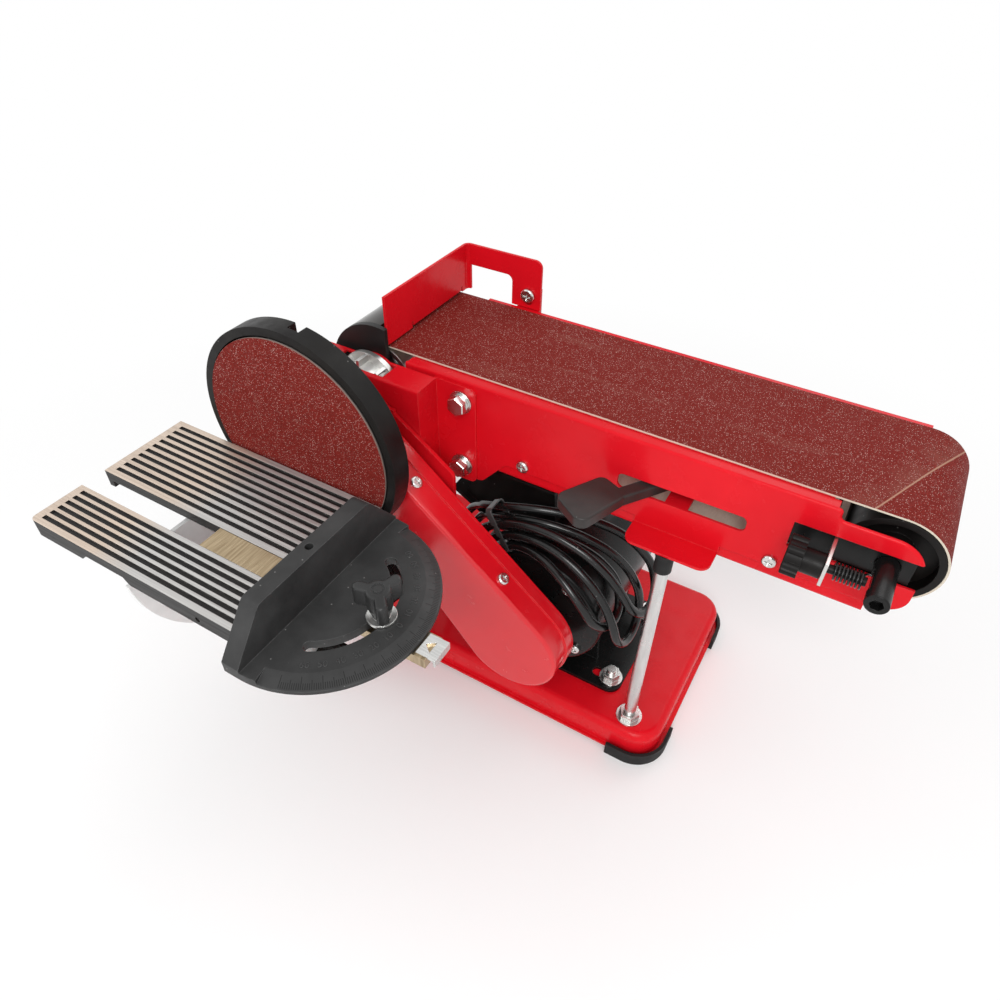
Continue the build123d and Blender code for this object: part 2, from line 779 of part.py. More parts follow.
# Bearing carrier: a casting fixed to the column, on which the belt arm turns
carrier_front = bracket_face + 5
carrier_rear = frame_face - 5
carrier_end = frame_inner + 2
carrier_nose = pan_front - 1.5
with BuildPart() as bearing_carrier:
    for rear, front, radius in (
        (carrier_rear, carrier_rear - carrier_flange, carrier_radius),
        (carrier_rear, carrier_front, carrier_hub_radius),
        (carrier_front, column_back, carrier_front_radius - run_gap),
        (column_back, pan_back, spigot_radius),
        (pan_back, carrier_nose, spigot_radius - 2),
        (carrier_end, carrier_rear, carrier_rear_radius - run_gap),
    ):
        with BuildSketch(side_plane(rear)):
            disc_at(drive_x, drive_z, radius)
        extrude(amount=rear - front)
    rib_reach = carrier_radius - carrier_hub_radius
    with BuildSketch(side_plane(carrier_rear)):
        with Locations((drive_x, drive_z)):
            with PolarLocations(carrier_hub_radius + rib_reach / 2 - 0.5, 9, start_angle=10):
                Rectangle(rib_reach, 2.4)
    extrude(amount=carrier_rear - carrier_front)
    with BuildSketch(side_plane(carrier_end)):
        disc_at(drive_x, drive_z, shaft_radius + 2)
    extrude(amount=carrier_end - carrier_nose, mode=Mode.SUBTRACT)
    with BuildSketch(side_plane(carrier_end)):
        disc_at(drive_x, drive_z, bearing_radius + press_gap)
    extrude(amount=bearing_width, mode=Mode.SUBTRACT)
    with BuildSketch(side_plane(carrier_nose + bearing_width + 4)):
        disc_at(drive_x, drive_z, bearing_radius + press_gap)
    extrude(amount=bearing_width + 4, mode=Mode.SUBTRACT)
save(bearing_carrier, "bearing_carrier")

with BuildPart() as bearings:
    for x, z, rear, width, outer, inner in (
        (drive_x, drive_z, carrier_end, bearing_width, bearing_radius, shaft_radius),
        (drive_x, drive_z, carrier_nose + bearing_width + 4, bearing_width, bearing_radius, shaft_radius),
        (motor_x, motor_z, shell_front, 10, motor_bearing_radius, motor_shaft_radius),
        (motor_x, motor_z, shell_back + 10, 10, motor_bearing_radius, motor_shaft_radius),
    ):
        with BuildSketch(side_plane(rear)):
            disc_at(x, z, outer)
            disc_at(x, z, inner + run_gap, Mode.SUBTRACT)
        extrude(amount=width)
save(bearings, "bearings")

# Drive cover and the pan behind it
cover_ends = [
    (drive_x, drive_z, cover_lobe_drive),
    (motor_x, motor_z, cover_lobe_motor),
]
cover_run = math.hypot(motor_x - drive_x, motor_z - drive_z)
cover_heading = math.atan2(motor_z - drive_z, motor_x - drive_x)
cover_turn = math.acos((cover_lobe_drive - cover_lobe_motor) / cover_run)
wall_angle = cover_heading + cover_turn
screw_shares = [0.35, 0.78]
screw_depth = pan_front - 15.8


def on_wall(share, depth):
    """A point on the cover's upper wall, a share of the way to the motor and some depth inside."""
    radius = cover_lobe_drive + (cover_lobe_motor - cover_lobe_drive) * share - depth
    x = drive_x + (motor_x - drive_x) * share + radius * math.cos(wall_angle)
    z = drive_z + (motor_z - drive_z) * share + radius * math.sin(wall_angle)
    return x, z


tab_plate = 3.0
pan_post_spots = [(drive_x + 42, drive_z - 48), (drive_x + 64, drive_z - 60)]
with BuildPart() as cover_pan:
    with BuildSketch(side_plane(pan_back)):
        wrap(cover_ends, cover_step)
        disc_at(drive_x, drive_z, spigot_radius - 2 + press_gap, Mode.SUBTRACT)
        disc_at(motor_x, motor_z, motor_shaft_radius + 5, Mode.SUBTRACT)
    extrude(amount=sheet)
    with BuildSketch(side_plane(column_front)):
        for x, z in pan_post_spots:
            disc_at(x, z, 6)
    extrude(amount=pan_offset)
    with BuildSketch(side_plane(pan_front)):
        for share in screw_shares:
            with Locations(on_wall(share, sheet + 0.15 + tab_plate / 2)):
                Rectangle(tab_plate, 12, rotation=math.degrees(wall_angle))
    extrude(amount=22)
    for share in screw_shares:
        x, z = on_wall(share, 0)
        normal = (math.cos(wall_angle), 0, math.sin(wall_angle))
        with BuildSketch(Plane(origin=(x, screw_depth, z), z_dir=normal)):
            Circle(cover_screw_radius + press_gap)
        extrude(amount=-10, mode=Mode.SUBTRACT)
save(cover_pan, "cover_pan")

with BuildPart() as drive_cover:
    with BuildSketch(side_plane(pan_front)):
        wrap(cover_ends)
    extrude(amount=cover_depth)
    fillet(drive_cover.faces().sort_by(Axis.Y)[0].edges(), 3)
    with BuildSketch(side_plane(pan_front)):
        wrap(cover_ends, cover_step)
    extrude(amount=8.3)
    with BuildSketch(side_plane(pan_front)):
        wrap(cover_ends, -sheet)
    extrude(amount=cover_depth - sheet, mode=Mode.SUBTRACT)
    with BuildSketch(side_plane(pan_front)):
        disc_at(drive_x, drive_z, shaft_radius + 4)
    extrude(amount=cover_depth, mode=Mode.SUBTRACT)
    for share in screw_shares:
        x, z = on_wall(share, 0)
        with BuildSketch(Plane(origin=(x, screw_depth, z), z_dir=normal)):
            Circle(cover_screw_radius + press_gap)
        extrude(amount=-5, mode=Mode.SUBTRACT)
save(drive_cover, "drive_cover")

with BuildPart() as cover_screws:
    for share in screw_shares:
        x, z = on_wall(share, 0)
        with Locations(facing((x, screw_depth, z), normal)):
            add(pan_screw(4.6, 2.6, cover_screw_radius, sheet + tab_plate))
save(cover_screws, "cover_screws")

# Sanding disc, its guard and the drive shaft
hub_back = cover_face - 3
plate_back_face = paper_back + disc_thickness
guard_floor = 3.0
guard_notch = 9.0
guard_notch_x = 7.0          # notch in the guard's rim, right of the top
post_radius = 5.0
post_spots = [(-36, -15), (-30, -64), (10, -72)]
with BuildPart() as disc_guard:
    with BuildSketch(side_plane(guard_back)):
        disc_at(drive_x, drive_z, guard_outer)
    extrude(amount=guard_depth)
    with BuildSketch(side_plane(guard_back - guard_floor)):
        disc_at(drive_x, drive_z, guard_inner)
    extrude(amount=guard_depth, mode=Mode.SUBTRACT)
    with BuildSketch(side_plane(guard_back)):
        disc_at(drive_x, drive_z, 22)
    extrude(amount=guard_floor + 2, mode=Mode.SUBTRACT)
    with BuildSketch(side_plane(guard_back)):
        box_at(
            drive_x + guard_notch_x - guard_notch / 2,
            drive_x + guard_notch_x + guard_notch / 2,
            drive_z + guard_inner - 4,
            drive_z + guard_outer + 2,
        )
    extrude(amount=guard_depth / 2, mode=Mode.SUBTRACT)
    with BuildSketch(side_plane(column_front)):
        for dx, dz in post_spots:
            disc_at(drive_x + dx, drive_z + dz, post_radius)
    extrude(amount=column_front - guard_back + guard_floor / 2)
save(disc_guard, "disc_guard")

with BuildPart() as disc_plate:
    with BuildSketch(side_plane(plate_back_face)):
        disc_at(drive_x, drive_z, disc_radius)
    extrude(amount=disc_thickness)
    with BuildSketch(side_plane(hub_back)):
        disc_at(drive_x, drive_z, 16)
    extrude(amount=hub_back - plate_back_face)
    with BuildSketch(side_plane(hub_back)):
        disc_at(drive_x, drive_z, shaft_radius + press_gap)
    extrude(amount=hub_back - plate_back_face + disc_thickness - 3, mode=Mode.SUBTRACT)
save(disc_plate, "disc_plate")

with BuildPart() as disc_paper:
    with BuildSketch(side_plane(paper_back)):
        disc_at(drive_x, drive_z, disc_radius)
    extrude(amount=paper_thickness)
save(disc_paper, "disc_paper")

drum_half = half_belt + drum_overhang
shaft_rear = drum_half + 2.5
with BuildPart() as drive_shaft:
    with BuildSketch(side_plane(shaft_rear)):
        disc_at(drive_x, drive_z, shaft_radius)
    extrude(amount=shaft_rear - paper_back - 4)
save(drive_shaft, "drive_shaft")

with BuildPart() as drive_drum:
    with BuildSketch(side_plane(drum_half)):
        disc_at(drive_x, drive_z, drive_drum_radius)
        disc_at(drive_x, drive_z, shaft_radius + press_gap, Mode.SUBTRACT)
    extrude(amount=2 * drum_half)
    for rear in (drum_half, -drum_half + 8):
        with BuildSketch(side_plane(rear)):
            disc_at(drive_x, drive_z, drive_drum_radius - 4)
            disc_at(drive_x, drive_z, shaft_radius + 5, Mode.SUBTRACT)
        extrude(amount=8, mode=Mode.SUBTRACT)
save(drive_drum, "drive_drum")

# Belt arm: side frame
frame_top = belt_top - frame_drop
nose_x = idler_x + nose_reach
slot_start = idler_x - axle_slot_length
slot_half = axle_slot / 2
step_x = idler_x - 33
nose_step = 8.0              # drop of the top edge at the idler's jaws
arm_bolt_spots = [(-31, 282), (-31, 225)]
arm_bolt_radius = 4.0
lever_x = 134.0
lever_y = frame_face + 34.2
lever_low = idler_z - 10.5
lever_high = lever_low + 8
lever_slot_left = 92.0
lever_slot_right = 180.0
lever_slot_low = lever_low - 2
lever_slot_high = lever_high + 2
shelf_reach = 21.0
rail_left = slot_start - 22
rail_right = slot_start - 2
slide_half = slot_half - 0.5
cover_screw_spots = [(20, frame_bottom + 5.5), (200, frame_bottom + 4.5)]
stud_radius = 4.0
with BuildPart() as belt_frame:
    with BuildSketch(side_plane(frame_inner)):
        outline(
            (frame_left, frame_top, 0),
            (step_x, frame_top, 3),
            (step_x, frame_top - nose_step, 3),
            (nose_x, frame_top - nose_step, 20),
            (nose_x, frame_bottom, 14),
            (shelf_right, frame_bottom, 0),
            (shelf_right, shelf_height, 0),
            (shelf_left, shelf_height, 0),
            (shelf_left, frame_bottom, 0),
            (5, frame_bottom, 6),
            (-15, 213, 8),
            (-60, 213, 10),
            (-66, 245, 10),
            (drive_x, drive_z - pivot_lug_radius, 0),
            (drive_x, drive_z, 0),
            (frame_left, drive_z + 4, 4),
        )
        disc_at(drive_x, drive_z, pivot_lug_radius)
        disc_at(drive_x, drive_z, carrier_rear_radius, Mode.SUBTRACT)
        box_at(slot_start, nose_x + 1, idler_z - slot_half, idler_z + slot_half, Mode.SUBTRACT)
        with Locations(((lever_slot_left + lever_slot_right) / 2, (lever_slot_low + lever_slot_high) / 2)):
            RectangleRounded(
                lever_slot_right - lever_slot_left,
                lever_slot_high - lever_slot_low,
                4,
                mode=Mode.SUBTRACT,
            )
        for x, z in arm_bolt_spots:
            disc_at(x, z, arm_bolt_radius + press_gap, Mode.SUBTRACT)
        for x, z in cover_screw_spots:
            disc_at(x, z, cover_screw_radius + press_gap, Mode.SUBTRACT)
    extrude(amount=sheet)
    with BuildSketch(Plane.XY.offset(frame_top - sheet)):
        box_at(frame_left + 1, step_x - 3, frame_face, -half_belt - flange_gap)
    extrude(amount=sheet)
    rolled = belt_frame.edges().filter_by_position(Axis.Y, frame_face - 0.1, frame_face + 0.1)
    fillet(rolled.filter_by(Axis.X).sort_by(Axis.Z)[-1], sheet * 0.9)
    with BuildSketch(Plane.XY.offset(shelf_height)):
        outline(
            (shelf_left, frame_inner, 0),
            (shelf_left, frame_face - shelf_reach, 8),
            (shelf_right, frame_face - shelf_reach, 8),
            (shelf_right, frame_inner, 0),
        )
    extrude(amount=sheet)
    with BuildSketch(side_plane(frame_inner + 5)):
        for low in (idler_z + slide_half + seat_gap, idler_z - slide_half - seat_gap - 2.5):
            box_at(rail_left, rail_right, low, low + 2.5)
    extrude(amount=5.5)
    with BuildSketch(Plane.XY.offset(lever_slot_low - 2)):
        box_at(lever_x - 8, lever_x + 8, frame_inner - 0.5, lever_y + 12)
    extrude(amount=2)
    with BuildSketch(Plane.XY.offset(lever_slot_low)):
        disc_at(lever_x, lever_y, stud_radius + 3)
    extrude(amount=lever_low - lever_slot_low - seat_gap)
    with BuildSketch(Plane.XY.offset(lever_slot_low)):
        disc_at(lever_x, lever_y, stud_radius)
    extrude(amount=lever_high - lever_slot_low + 10)
save(belt_frame, "belt_frame")

# Arm bracket: a sheet box round the bearing carrier, bolted to the side frame
flange_face = frame_face - sheet
flange_right = bracket_right + 33
with BuildPart() as arm_bracket:
    with BuildSketch(side_plane(bracket_face + sheet)):
        outline(
            (bracket_left, bracket_top, 0),
            (bracket_right, bracket_top, 0),
            (bracket_right, bracket_bottom, 8),
            (bracket_left + 26, bracket_bottom, 20),
            (bracket_left, bracket_bottom + 30, 16),
        )
        disc_at(drive_x, drive_z, carrier_front_radius, Mode.SUBTRACT)
    extrude(amount=sheet)
    with BuildSketch(Plane.XY.offset(bracket_top - sheet)):
        box_at(bracket_left, bracket_right, bracket_face, flange_face)
        box_at(
            drive_x - carrier_radius + 3,
            drive_x + carrier_radius - 3,
            carrier_front - 1,
            carrier_rear + 1,
            Mode.SUBTRACT,
        )
    extrude(amount=sheet)
    with BuildSketch(end_plane(bracket_right - sheet)):
        outline(
            (bracket_face, bracket_bottom + 4, 0),
            (bracket_face, bracket_top, 0),
            (frame_face, bracket_top, 0),
            (frame_face, bracket_bottom - 6, 0),
        )
    extrude(amount=sheet)
    with BuildSketch(end_plane(bracket_left)):
        box_at(bracket_face, flange_face, bracket_bottom + 34, bracket_top)
    extrude(amount=sheet)
    with BuildSketch(side_plane(frame_face)):
        outline(
            (bracket_right - sheet, bracket_top, 0),
            (flange_right, bracket_top, 4),
            (flange_right, bracket_bottom - 9, 5),
            (bracket_right + 6, bracket_bottom - 10, 6),
            (bracket_right - sheet, bracket_bottom - 6, 0),
        )
        for x, z in arm_bolt_spots:
            disc_at(x, z, arm_bolt_radius + press_gap, Mode.SUBTRACT)
    extrude(amount=sheet)
    bends = arm_bracket.edges().filter_by_position(Axis.Y, bracket_face - 0.1, bracket_face + 0.1)
    fillet(bends.filter_by(Axis.X).sort_by(Axis.Z)[-1], sheet * 0.9)
save(arm_bracket, "arm_bracket")

with BuildPart() as arm_bolts:
    for x, z in arm_bolt_spots:
        with Locations(facing((x, flange_face, z), TOWARD_DISC)):
            add(hex_bolt(bolt_across, bolt_head, arm_bolt_radius, 2 * sheet + 3, washer=9))
    for x, z in cover_screw_spots:
        with Locations(facing((x, frame_face, z), TOWARD_DISC)):
            add(pan_screw(4.8, 2.8, cover_screw_radius, 2 * sheet + 1.5))
save(arm_bolts, "arm_bolts")

# Lower cover under the return run
lower_left = -8.0
lower_right = idler_x - 2
with BuildPart() as lower_cover:
    with BuildSketch(end_plane(lower_left)):
        outline(
            (frame_inner + seat_gap, lower_floor, 4),
            (frame_inner + seat_gap, frame_bottom + 12, 0),
            (frame_inner + seat_gap + sheet, frame_bottom + 12, 0),
            (frame_inner + seat_gap + sheet, lower_floor + sheet, 2),
            (half_belt + 4, lower_floor + sheet, 2),
            (half_belt + 4, frame_bottom + 2, 0),
            (half_belt + 4 + sheet, frame_bottom + 2, 0),
            (half_belt + 4 + sheet, lower_floor, 4),
        )
    extrude(amount=lower_right - lower_left)
    with BuildSketch(side_plane(frame_inner + 10)):
        for x, z in cover_screw_spots:
            disc_at(x, z, cover_screw_radius + press_gap)
    extrude(amount=20, mode=Mode.SUBTRACT)
save(lower_cover, "lower_cover")

# Sanding belt
belt_ends = [(drive_x, drive_z, drive_drum_radius), (idler_x, idler_z, idler_drum_radius)]
with BuildPart() as abrasive_belt:
    with BuildSketch(side_plane(half_belt)):
        wrap(belt_ends, belt_gap + belt_thickness)
        wrap(belt_ends, belt_gap, Mode.SUBTRACT)
    extrude(amount=belt_width)
save(abrasive_belt, "abrasive_belt")

# Platen under the top run: stays to the side frame, a ledge past the belt's far edge that runs
# on to the nose beside the idler drum, and a lug behind the work stop
platen_plate = 4.0
platen_ledge = 6.0
ledge_room = 2.0             # between the ledge and the end of the idler drum
platen_top = belt_top - belt_thickness - seat_gap
platen_low = platen_top - platen_plate
platen_left = drive_x + 30
platen_right = idler_x - 40
stop_arm_face = half_belt + 6.5
stay_spots = [4.0, 180.0]
stay_length = 20.0
lug_x = -43.0
lug_half = 10.0
lug_plate = 2.5
lug_face = stop_arm_face + sheet + seat_gap
lug_back = lug_face + lug_plate
stop_screw_z = belt_top + 10
stop_screw_radius = 3.0
with BuildPart() as platen:
    with BuildSketch(Plane.XY.offset(platen_low)):
        box_at(platen_left, platen_right, -half_belt, half_belt + platen_ledge)
        box_at(platen_right - 1, idler_x, half_belt + ledge_room, half_belt + platen_ledge)
        box_at(lug_x - lug_half, lug_x + lug_half, half_belt - 5, lug_back)
    extrude(amount=platen_plate)
    with BuildSketch(side_plane(lug_back)):
        box_at(lug_x - lug_half, lug_x + lug_half, platen_low, stop_screw_z + 6)
        disc_at(lug_x, stop_screw_z, stop_screw_radius + press_gap, Mode.SUBTRACT)
    extrude(amount=lug_plate)
    for x in stay_spots:
        with BuildSketch(end_plane(x)):
            box_at(frame_inner, -half_belt + 6, platen_low - 8, platen_low + 1)
        extrude(amount=stay_length)
save(platen, "platen")

# Drum hood round the drive end
hood_outer = drive_reach + 17.5
hood_inner = hood_outer - 3
hood_span = hood_outer + 10
hood_front = frame_inner + seat_gap
hood_back = half_belt + 5
hood_edge = drive_x + 3
hood_cap_edge = drive_x + 9
with BuildPart() as drum_hood:
    with BuildSketch(side_plane(hood_back)):
        disc_at(drive_x, drive_z, hood_outer)
        disc_at(drive_x, drive_z, hood_inner, Mode.SUBTRACT)
        box_at(drive_x - hood_span, hood_edge, drive_z - hood_span, drive_z + hood_span, Mode.INTERSECT)
    extrude(amount=hood_back - hood_front)
    with BuildSketch(side_plane(hood_back)):
        disc_at(drive_x, drive_z, hood_outer)
        disc_at(drive_x, drive_z, drive_reach + 1.5, Mode.SUBTRACT)
        box_at(drive_x - hood_span, hood_edge, drive_z - hood_span, drive_z + hood_span, Mode.INTERSECT)
    extrude(amount=2.5)
    with BuildSketch(side_plane(hood_front + 3.7)):
        outline(
            (drive_x - hood_span, drive_z - hood_span, 0),
            (hood_edge, drive_z - hood_span, 0),
            (hood_edge, drive_z + 15, 0),
            (hood_cap_edge, drive_z + 15, 0),
            (hood_cap_edge, drive_z + hood_span, 0),
            (drive_x - hood_span, drive_z + hood_span, 0),
        )
        with Locations((drive_x, drive_z)):
            Circle(hood_outer, mode=Mode.INTERSECT)
            Circle(carrier_rear_radius + 3.5, mode=Mode.SUBTRACT)
    extrude(amount=3.7)
save(drum_hood, "drum_hood")

# Work stop: a bent plate across the belt with an arm along its far side
stop_face = -100.0
stop_low = belt_top + 2
stop_high = stop_low + 38
stop_near = -half_belt - 2
stop_arm_end = lug_x + 11
stop_bend = 3.0              # inner radius of the plate's bend
stop_opening = 21.0          # height of the opening under the arm
leg_left = lug_x - 15
leg_low = belt_top - 1
stop_travel = 5.0
stop_slit = 1.6
stop_slit_high = 5.0
stop_gap = 1.5
stop_slits = (-21, 48)       # short slits in the plate's lower edge, which is higher between them
with BuildPart() as work_stop:
    with BuildSketch(Plane.XY.offset(stop_low)):
        outline(
            (stop_face, stop_near, 0),
            (stop_face, stop_arm_face, stop_bend),
            (stop_arm_end, stop_arm_face, 0),
            (stop_arm_end, stop_arm_face + sheet, 0),
            (stop_face - sheet, stop_arm_face + sheet, stop_bend + sheet),
            (stop_face - sheet, stop_near, 0),
        )
    extrude(amount=stop_high - stop_low)
    fillet(work_stop.edges().filter_by(Axis.Y).group_by(Axis.X)[-1].sort_by(Axis.Z)[-1], 6)
    with BuildSketch(side_plane(stop_arm_face + sheet)):
        box_at(leg_left, stop_arm_end, leg_low, stop_low + 1)
    extrude(amount=sheet)
    with BuildSketch(side_plane(stop_arm_face + sheet)):
        outline(
            (stop_face + stop_bend, stop_low - 1, 0),
            (leg_left, stop_low - 1, 0),
            (leg_left, stop_low + stop_opening, 5),
            (stop_face + stop_bend, stop_low + stop_opening, 0),
        )
        with Locations((lug_x, stop_screw_z - stop_travel / 2)):
            SlotCenterToCenter(stop_travel, 2 * stop_screw_radius + 0.6, rotation=90)
    extrude(amount=sheet + 1, mode=Mode.SUBTRACT)
    with BuildSketch(end_plane(stop_face - sheet)):
        box_at(stop_slits[0], stop_slits[1], stop_low - 1, stop_low + stop_gap)
        for y in stop_slits:
            box_at(y - stop_slit / 2, y + stop_slit / 2, stop_low - 1, stop_low + stop_slit_high)
    extrude(amount=sheet, mode=Mode.SUBTRACT)
save(work_stop, "work_stop")

with BuildPart() as stop_screw:
    with Locations(facing((lug_x, stop_arm_face - seat_gap, stop_screw_z), TOWARD_DISC)):
        add(pan_screw(6, 3.2, stop_screw_radius, sheet + 2 * seat_gap + lug_plate))
save(stop_screw, "stop_screw")

# Tension lever and the idler slide that its cam pushes
lever_rest = 34.0
lever_swing = 60.0
tension_travel = 5.0
cam_lead = math.radians(30)
cam_offset = tension_travel / (math.cos(cam_lead) - math.cos(cam_lead + math.radians(lever_swing)))
cam_radius = stud_radius + cam_offset + 1
cam_low = lever_high + 1
cam_high = cam_low + 8
cam_gap = 0.8
along_x, along_y = -math.sin(math.radians(lever_rest)), -math.cos(math.radians(lever_rest))


def on_lever(along, across):
    """A point of the lever: distance from its pivot along the arm, and across it."""
    return lever_x + along * along_x - across * along_y, lever_y + along * along_y + across * along_x


def lever_outline(*corners):
    """An outline drawn along the lever."""
    outline(*[(*on_lever(a, c), r) for a, c, r in corners])


with BuildPart() as tension_lever:
    with BuildSketch(Plane.XY.offset(lever_low)):
        disc_at(lever_x, lever_y, stud_radius + 5)
        lever_outline((0, -5, 0), (0, 5, 0), (66, 5, 0), (66, -5, 0))
        lever_outline((56, 4, 6), (61, -20, 6), (100, -17, 7), (99, 15, 7))
    extrude(amount=lever_high - lever_low)
    fillet(tension_lever.faces().sort_by(Axis.Z)[-1].outer_wire().edges(), 1.5)
    with BuildSketch(Plane.XY.offset(lever_high)):
        disc_at(
            lever_x + cam_offset * math.cos(cam_lead),
            lever_y + cam_offset * math.sin(cam_lead),
            cam_radius,
        )
    extrude(amount=cam_high - lever_high)
    with BuildSketch(Plane.XY.offset(lever_low)):
        disc_at(lever_x, lever_y, stud_radius + run_gap)
    extrude(amount=cam_high - lever_low, mode=Mode.SUBTRACT)
save(tension_lever, "tension_lever")

slide_near = frame_inner + 0.6
slide_far = slide_near + 4
axle_radius = 7.0
follower_x = lever_x + cam_radius + cam_offset * math.cos(cam_lead) + cam_gap
tail_low = cam_low + 0.5
tail_high = idler_z + slide_half
tab_x = idler_x - 32
yoke_x = idler_x - idler_drum_radius - 7
tracking_y = frame_face - 16
tracking_z = idler_z - 1.5
tab_near = tracking_y - 9
screw_radius = 2.8
with BuildPart() as idler_slide:
    with BuildSketch(side_plane(slide_far)):
        box_at(rail_left - 4, idler_x + 14, idler_z - slide_half, idler_z + slide_half)
        box_at(follower_x, rail_left, tail_low, tail_high)
        disc_at(idler_x, idler_z, axle_radius + seat_gap, Mode.SUBTRACT)
    extrude(amount=slide_far - slide_near)
    with BuildSketch(end_plane(follower_x)):
        box_at(slide_near, lever_y + 10, tail_low, tail_high)
    extrude(amount=3)
    with BuildSketch(end_plane(yoke_x)):
        box_at(slide_near, half_belt - 8, idler_z - slide_half, idler_z + slide_half)
    extrude(amount=sheet)
    with BuildSketch(end_plane(tab_x)):
        box_at(tab_near, slide_far, idler_z - slide_half + 0.5, idler_z + slide_half - 0.5)
        disc_at(tracking_y, tracking_z, screw_radius + 0.5, Mode.SUBTRACT)
    extrude(amount=sheet)
save(idler_slide, "idler_slide")

axle_front = frame_face - 33
axle_flat = 6.0
with BuildPart() as idler_axle:
    with BuildSketch(side_plane(drum_half + 2.5)):
        disc_at(idler_x, idler_z, axle_radius)
    extrude(amount=drum_half + 2.5 - axle_front)
    with BuildSketch(side_plane(drum_half + 2.5)):
        disc_at(idler_x, idler_z, axle_radius + 4)
    extrude(amount=2.2)
    with BuildSketch(side_plane(-drum_half - seat_gap)):
        disc_at(idler_x, idler_z, axle_radius + 3)
    extrude(amount=-drum_half - 2 * seat_gap - slide_far)
    with BuildSketch(side_plane(tracking_y + 9)):
        box_at(idler_x - 2 * axle_radius, idler_x - axle_flat, idler_z - 10, idler_z + 10)
    extrude(amount=18, mode=Mode.SUBTRACT)
    with BuildSketch(side_plane(axle_front + 7)):
        with Locations((idler_x, idler_z)):
            RegularPolygon(3.6, 6, major_radius=False)
    extrude(amount=7, mode=Mode.SUBTRACT)
    fillet(idler_axle.faces().sort_by(Axis.Y)[0].outer_wire().edges(), 0.8)
save(idler_axle, "idler_axle")

with BuildPart() as idler_drum:
    with BuildSketch(side_plane(drum_half)):
        disc_at(idler_x, idler_z, idler_drum_radius)
        disc_at(idler_x, idler_z, axle_radius + run_gap, Mode.SUBTRACT)
    extrude(amount=2 * drum_half)
    for rear in (drum_half, -drum_half + 10):
        with BuildSketch(side_plane(rear)):
            disc_at(idler_x, idler_z, idler_drum_radius - 4)
            disc_at(idler_x, idler_z, axle_radius + 6, Mode.SUBTRACT)
        extrude(amount=10, mode=Mode.SUBTRACT)
save(idler_drum, "idler_drum")

# Tracking knob: lobed grip, sleeve and screw in one
knob_length = 10.0
knob_sleeve = 12.0
knob_lobes = 10.0            # from the knob's axis to its six lobes
knob_x = tab_x - seat_gap - knob_sleeve - knob_length
screw_end = idler_x - axle_flat - 2
with BuildPart() as tracking_knob:
    with BuildSketch(end_plane(knob_x)):
        with Locations((tracking_y, tracking_z)):
            Circle(knob_lobes + 0.6)
            with PolarLocations(knob_lobes, 6):
                Circle(3)
    extrude(amount=knob_length)
    fillet(tracking_knob.faces().sort_by(Axis.X)[0].edges(), 1)
    with BuildSketch(end_plane(knob_x + knob_length)):
        disc_at(tracking_y, tracking_z, 8)
    extrude(amount=knob_sleeve)
    with BuildSketch(end_plane(knob_x + knob_length)):
        disc_at(tracking_y, tracking_z, screw_radius)
    extrude(amount=screw_end - knob_x - knob_length)
save(tracking_knob, "tracking_knob")


def biarc(start, start_way, end, end_way):
    """Two arcs that leave one point in one direction and reach another in a second one."""
    chord = end - start
    ways = start_way + end_way
    bend = 2 * (1 - start_way.dot(end_way))
    if bend < 1e-9:
        if (chord - start_way * chord.length).length < 1e-6:
            Line(start, end)
            return
        reach = chord.dot(chord) / (4 * chord.dot(end_way))
    else:
        lead = chord.dot(ways)
        reach = (-lead + math.sqrt(lead * lead + bend * chord.dot(chord))) / bend
    middle = (start + end + (start_way - end_way) * reach) * 0.5
    first = TangentArc(start, middle, tangent=start_way)
    TangentArc(middle, end, tangent=first % 1)


def least_gap(line, diameter, skip, count):
    """Least clear gap between stretches of a wound tube that are a skip or more apart."""
    points = [tuple(line.position_at(i / count)) for i in range(count + 1)]
    apart = int(skip * count / line.length)
    least = min(math.dist(p, q) for i, p in enumerate(points) for q in points[i + apart:])
    return least - diameter


# Tracking spring between the tab and the axle's flat
spring_wire = 0.7
spring_radius = 5.0
spring_turns = 8
spring_left = tab_x + sheet + seat_gap
spring_right = idler_x - axle_flat - seat_gap
spring_lead = 2.0
spring_straight = 2 * spring_wire
coil_left = spring_left + spring_straight + spring_lead
coil_right = spring_right - spring_straight - spring_lead
spring_rise = (coil_right - coil_left) / spring_turns


def spring_station(turn):
    """Point and direction of the coil after some turns."""
    angle = 2 * math.pi * turn
    point = Vector(
        coil_left + spring_rise * turn,
        tracking_y + spring_radius * math.cos(angle),
        tracking_z + spring_radius * math.sin(angle),
    )
    way = Vector(spring_rise / (2 * math.pi * spring_radius), -math.sin(angle), math.cos(angle))
    return point, way.normalized()


along_nose = Vector(1, 0, 0)
first_point, first_way = spring_station(0)
last_point, last_way = spring_station(spring_turns)
spring_start = Vector(spring_left, first_point.Y, first_point.Z - spring_lead)
spring_end = Vector(spring_right, last_point.Y, last_point.Z + spring_lead)
spring_route = [
    (spring_start, along_nose),
    (spring_start + along_nose * spring_straight, along_nose),
]
spring_route += [spring_station(quarter / 4) for quarter in range(4 * spring_turns + 1)]
spring_route += [
    (spring_end - along_nose * spring_straight, along_nose),
    (spring_end, along_nose),
]
with BuildPart() as tracking_spring:
    with BuildLine() as spring_line:
        for (p1, w1), (p2, w2) in zip(spring_route, spring_route[1:]):
            biarc(p1, w1, p2, w2)
    with BuildSketch(Plane(origin=spring_start, z_dir=along_nose)):
        Circle(spring_wire)
    sweep(path=spring_line.wires()[0])
print("spring gap", round(least_gap(spring_line.wires()[0], 2 * spring_wire, 6, 900), 2))
save(tracking_spring, "tracking_spring")

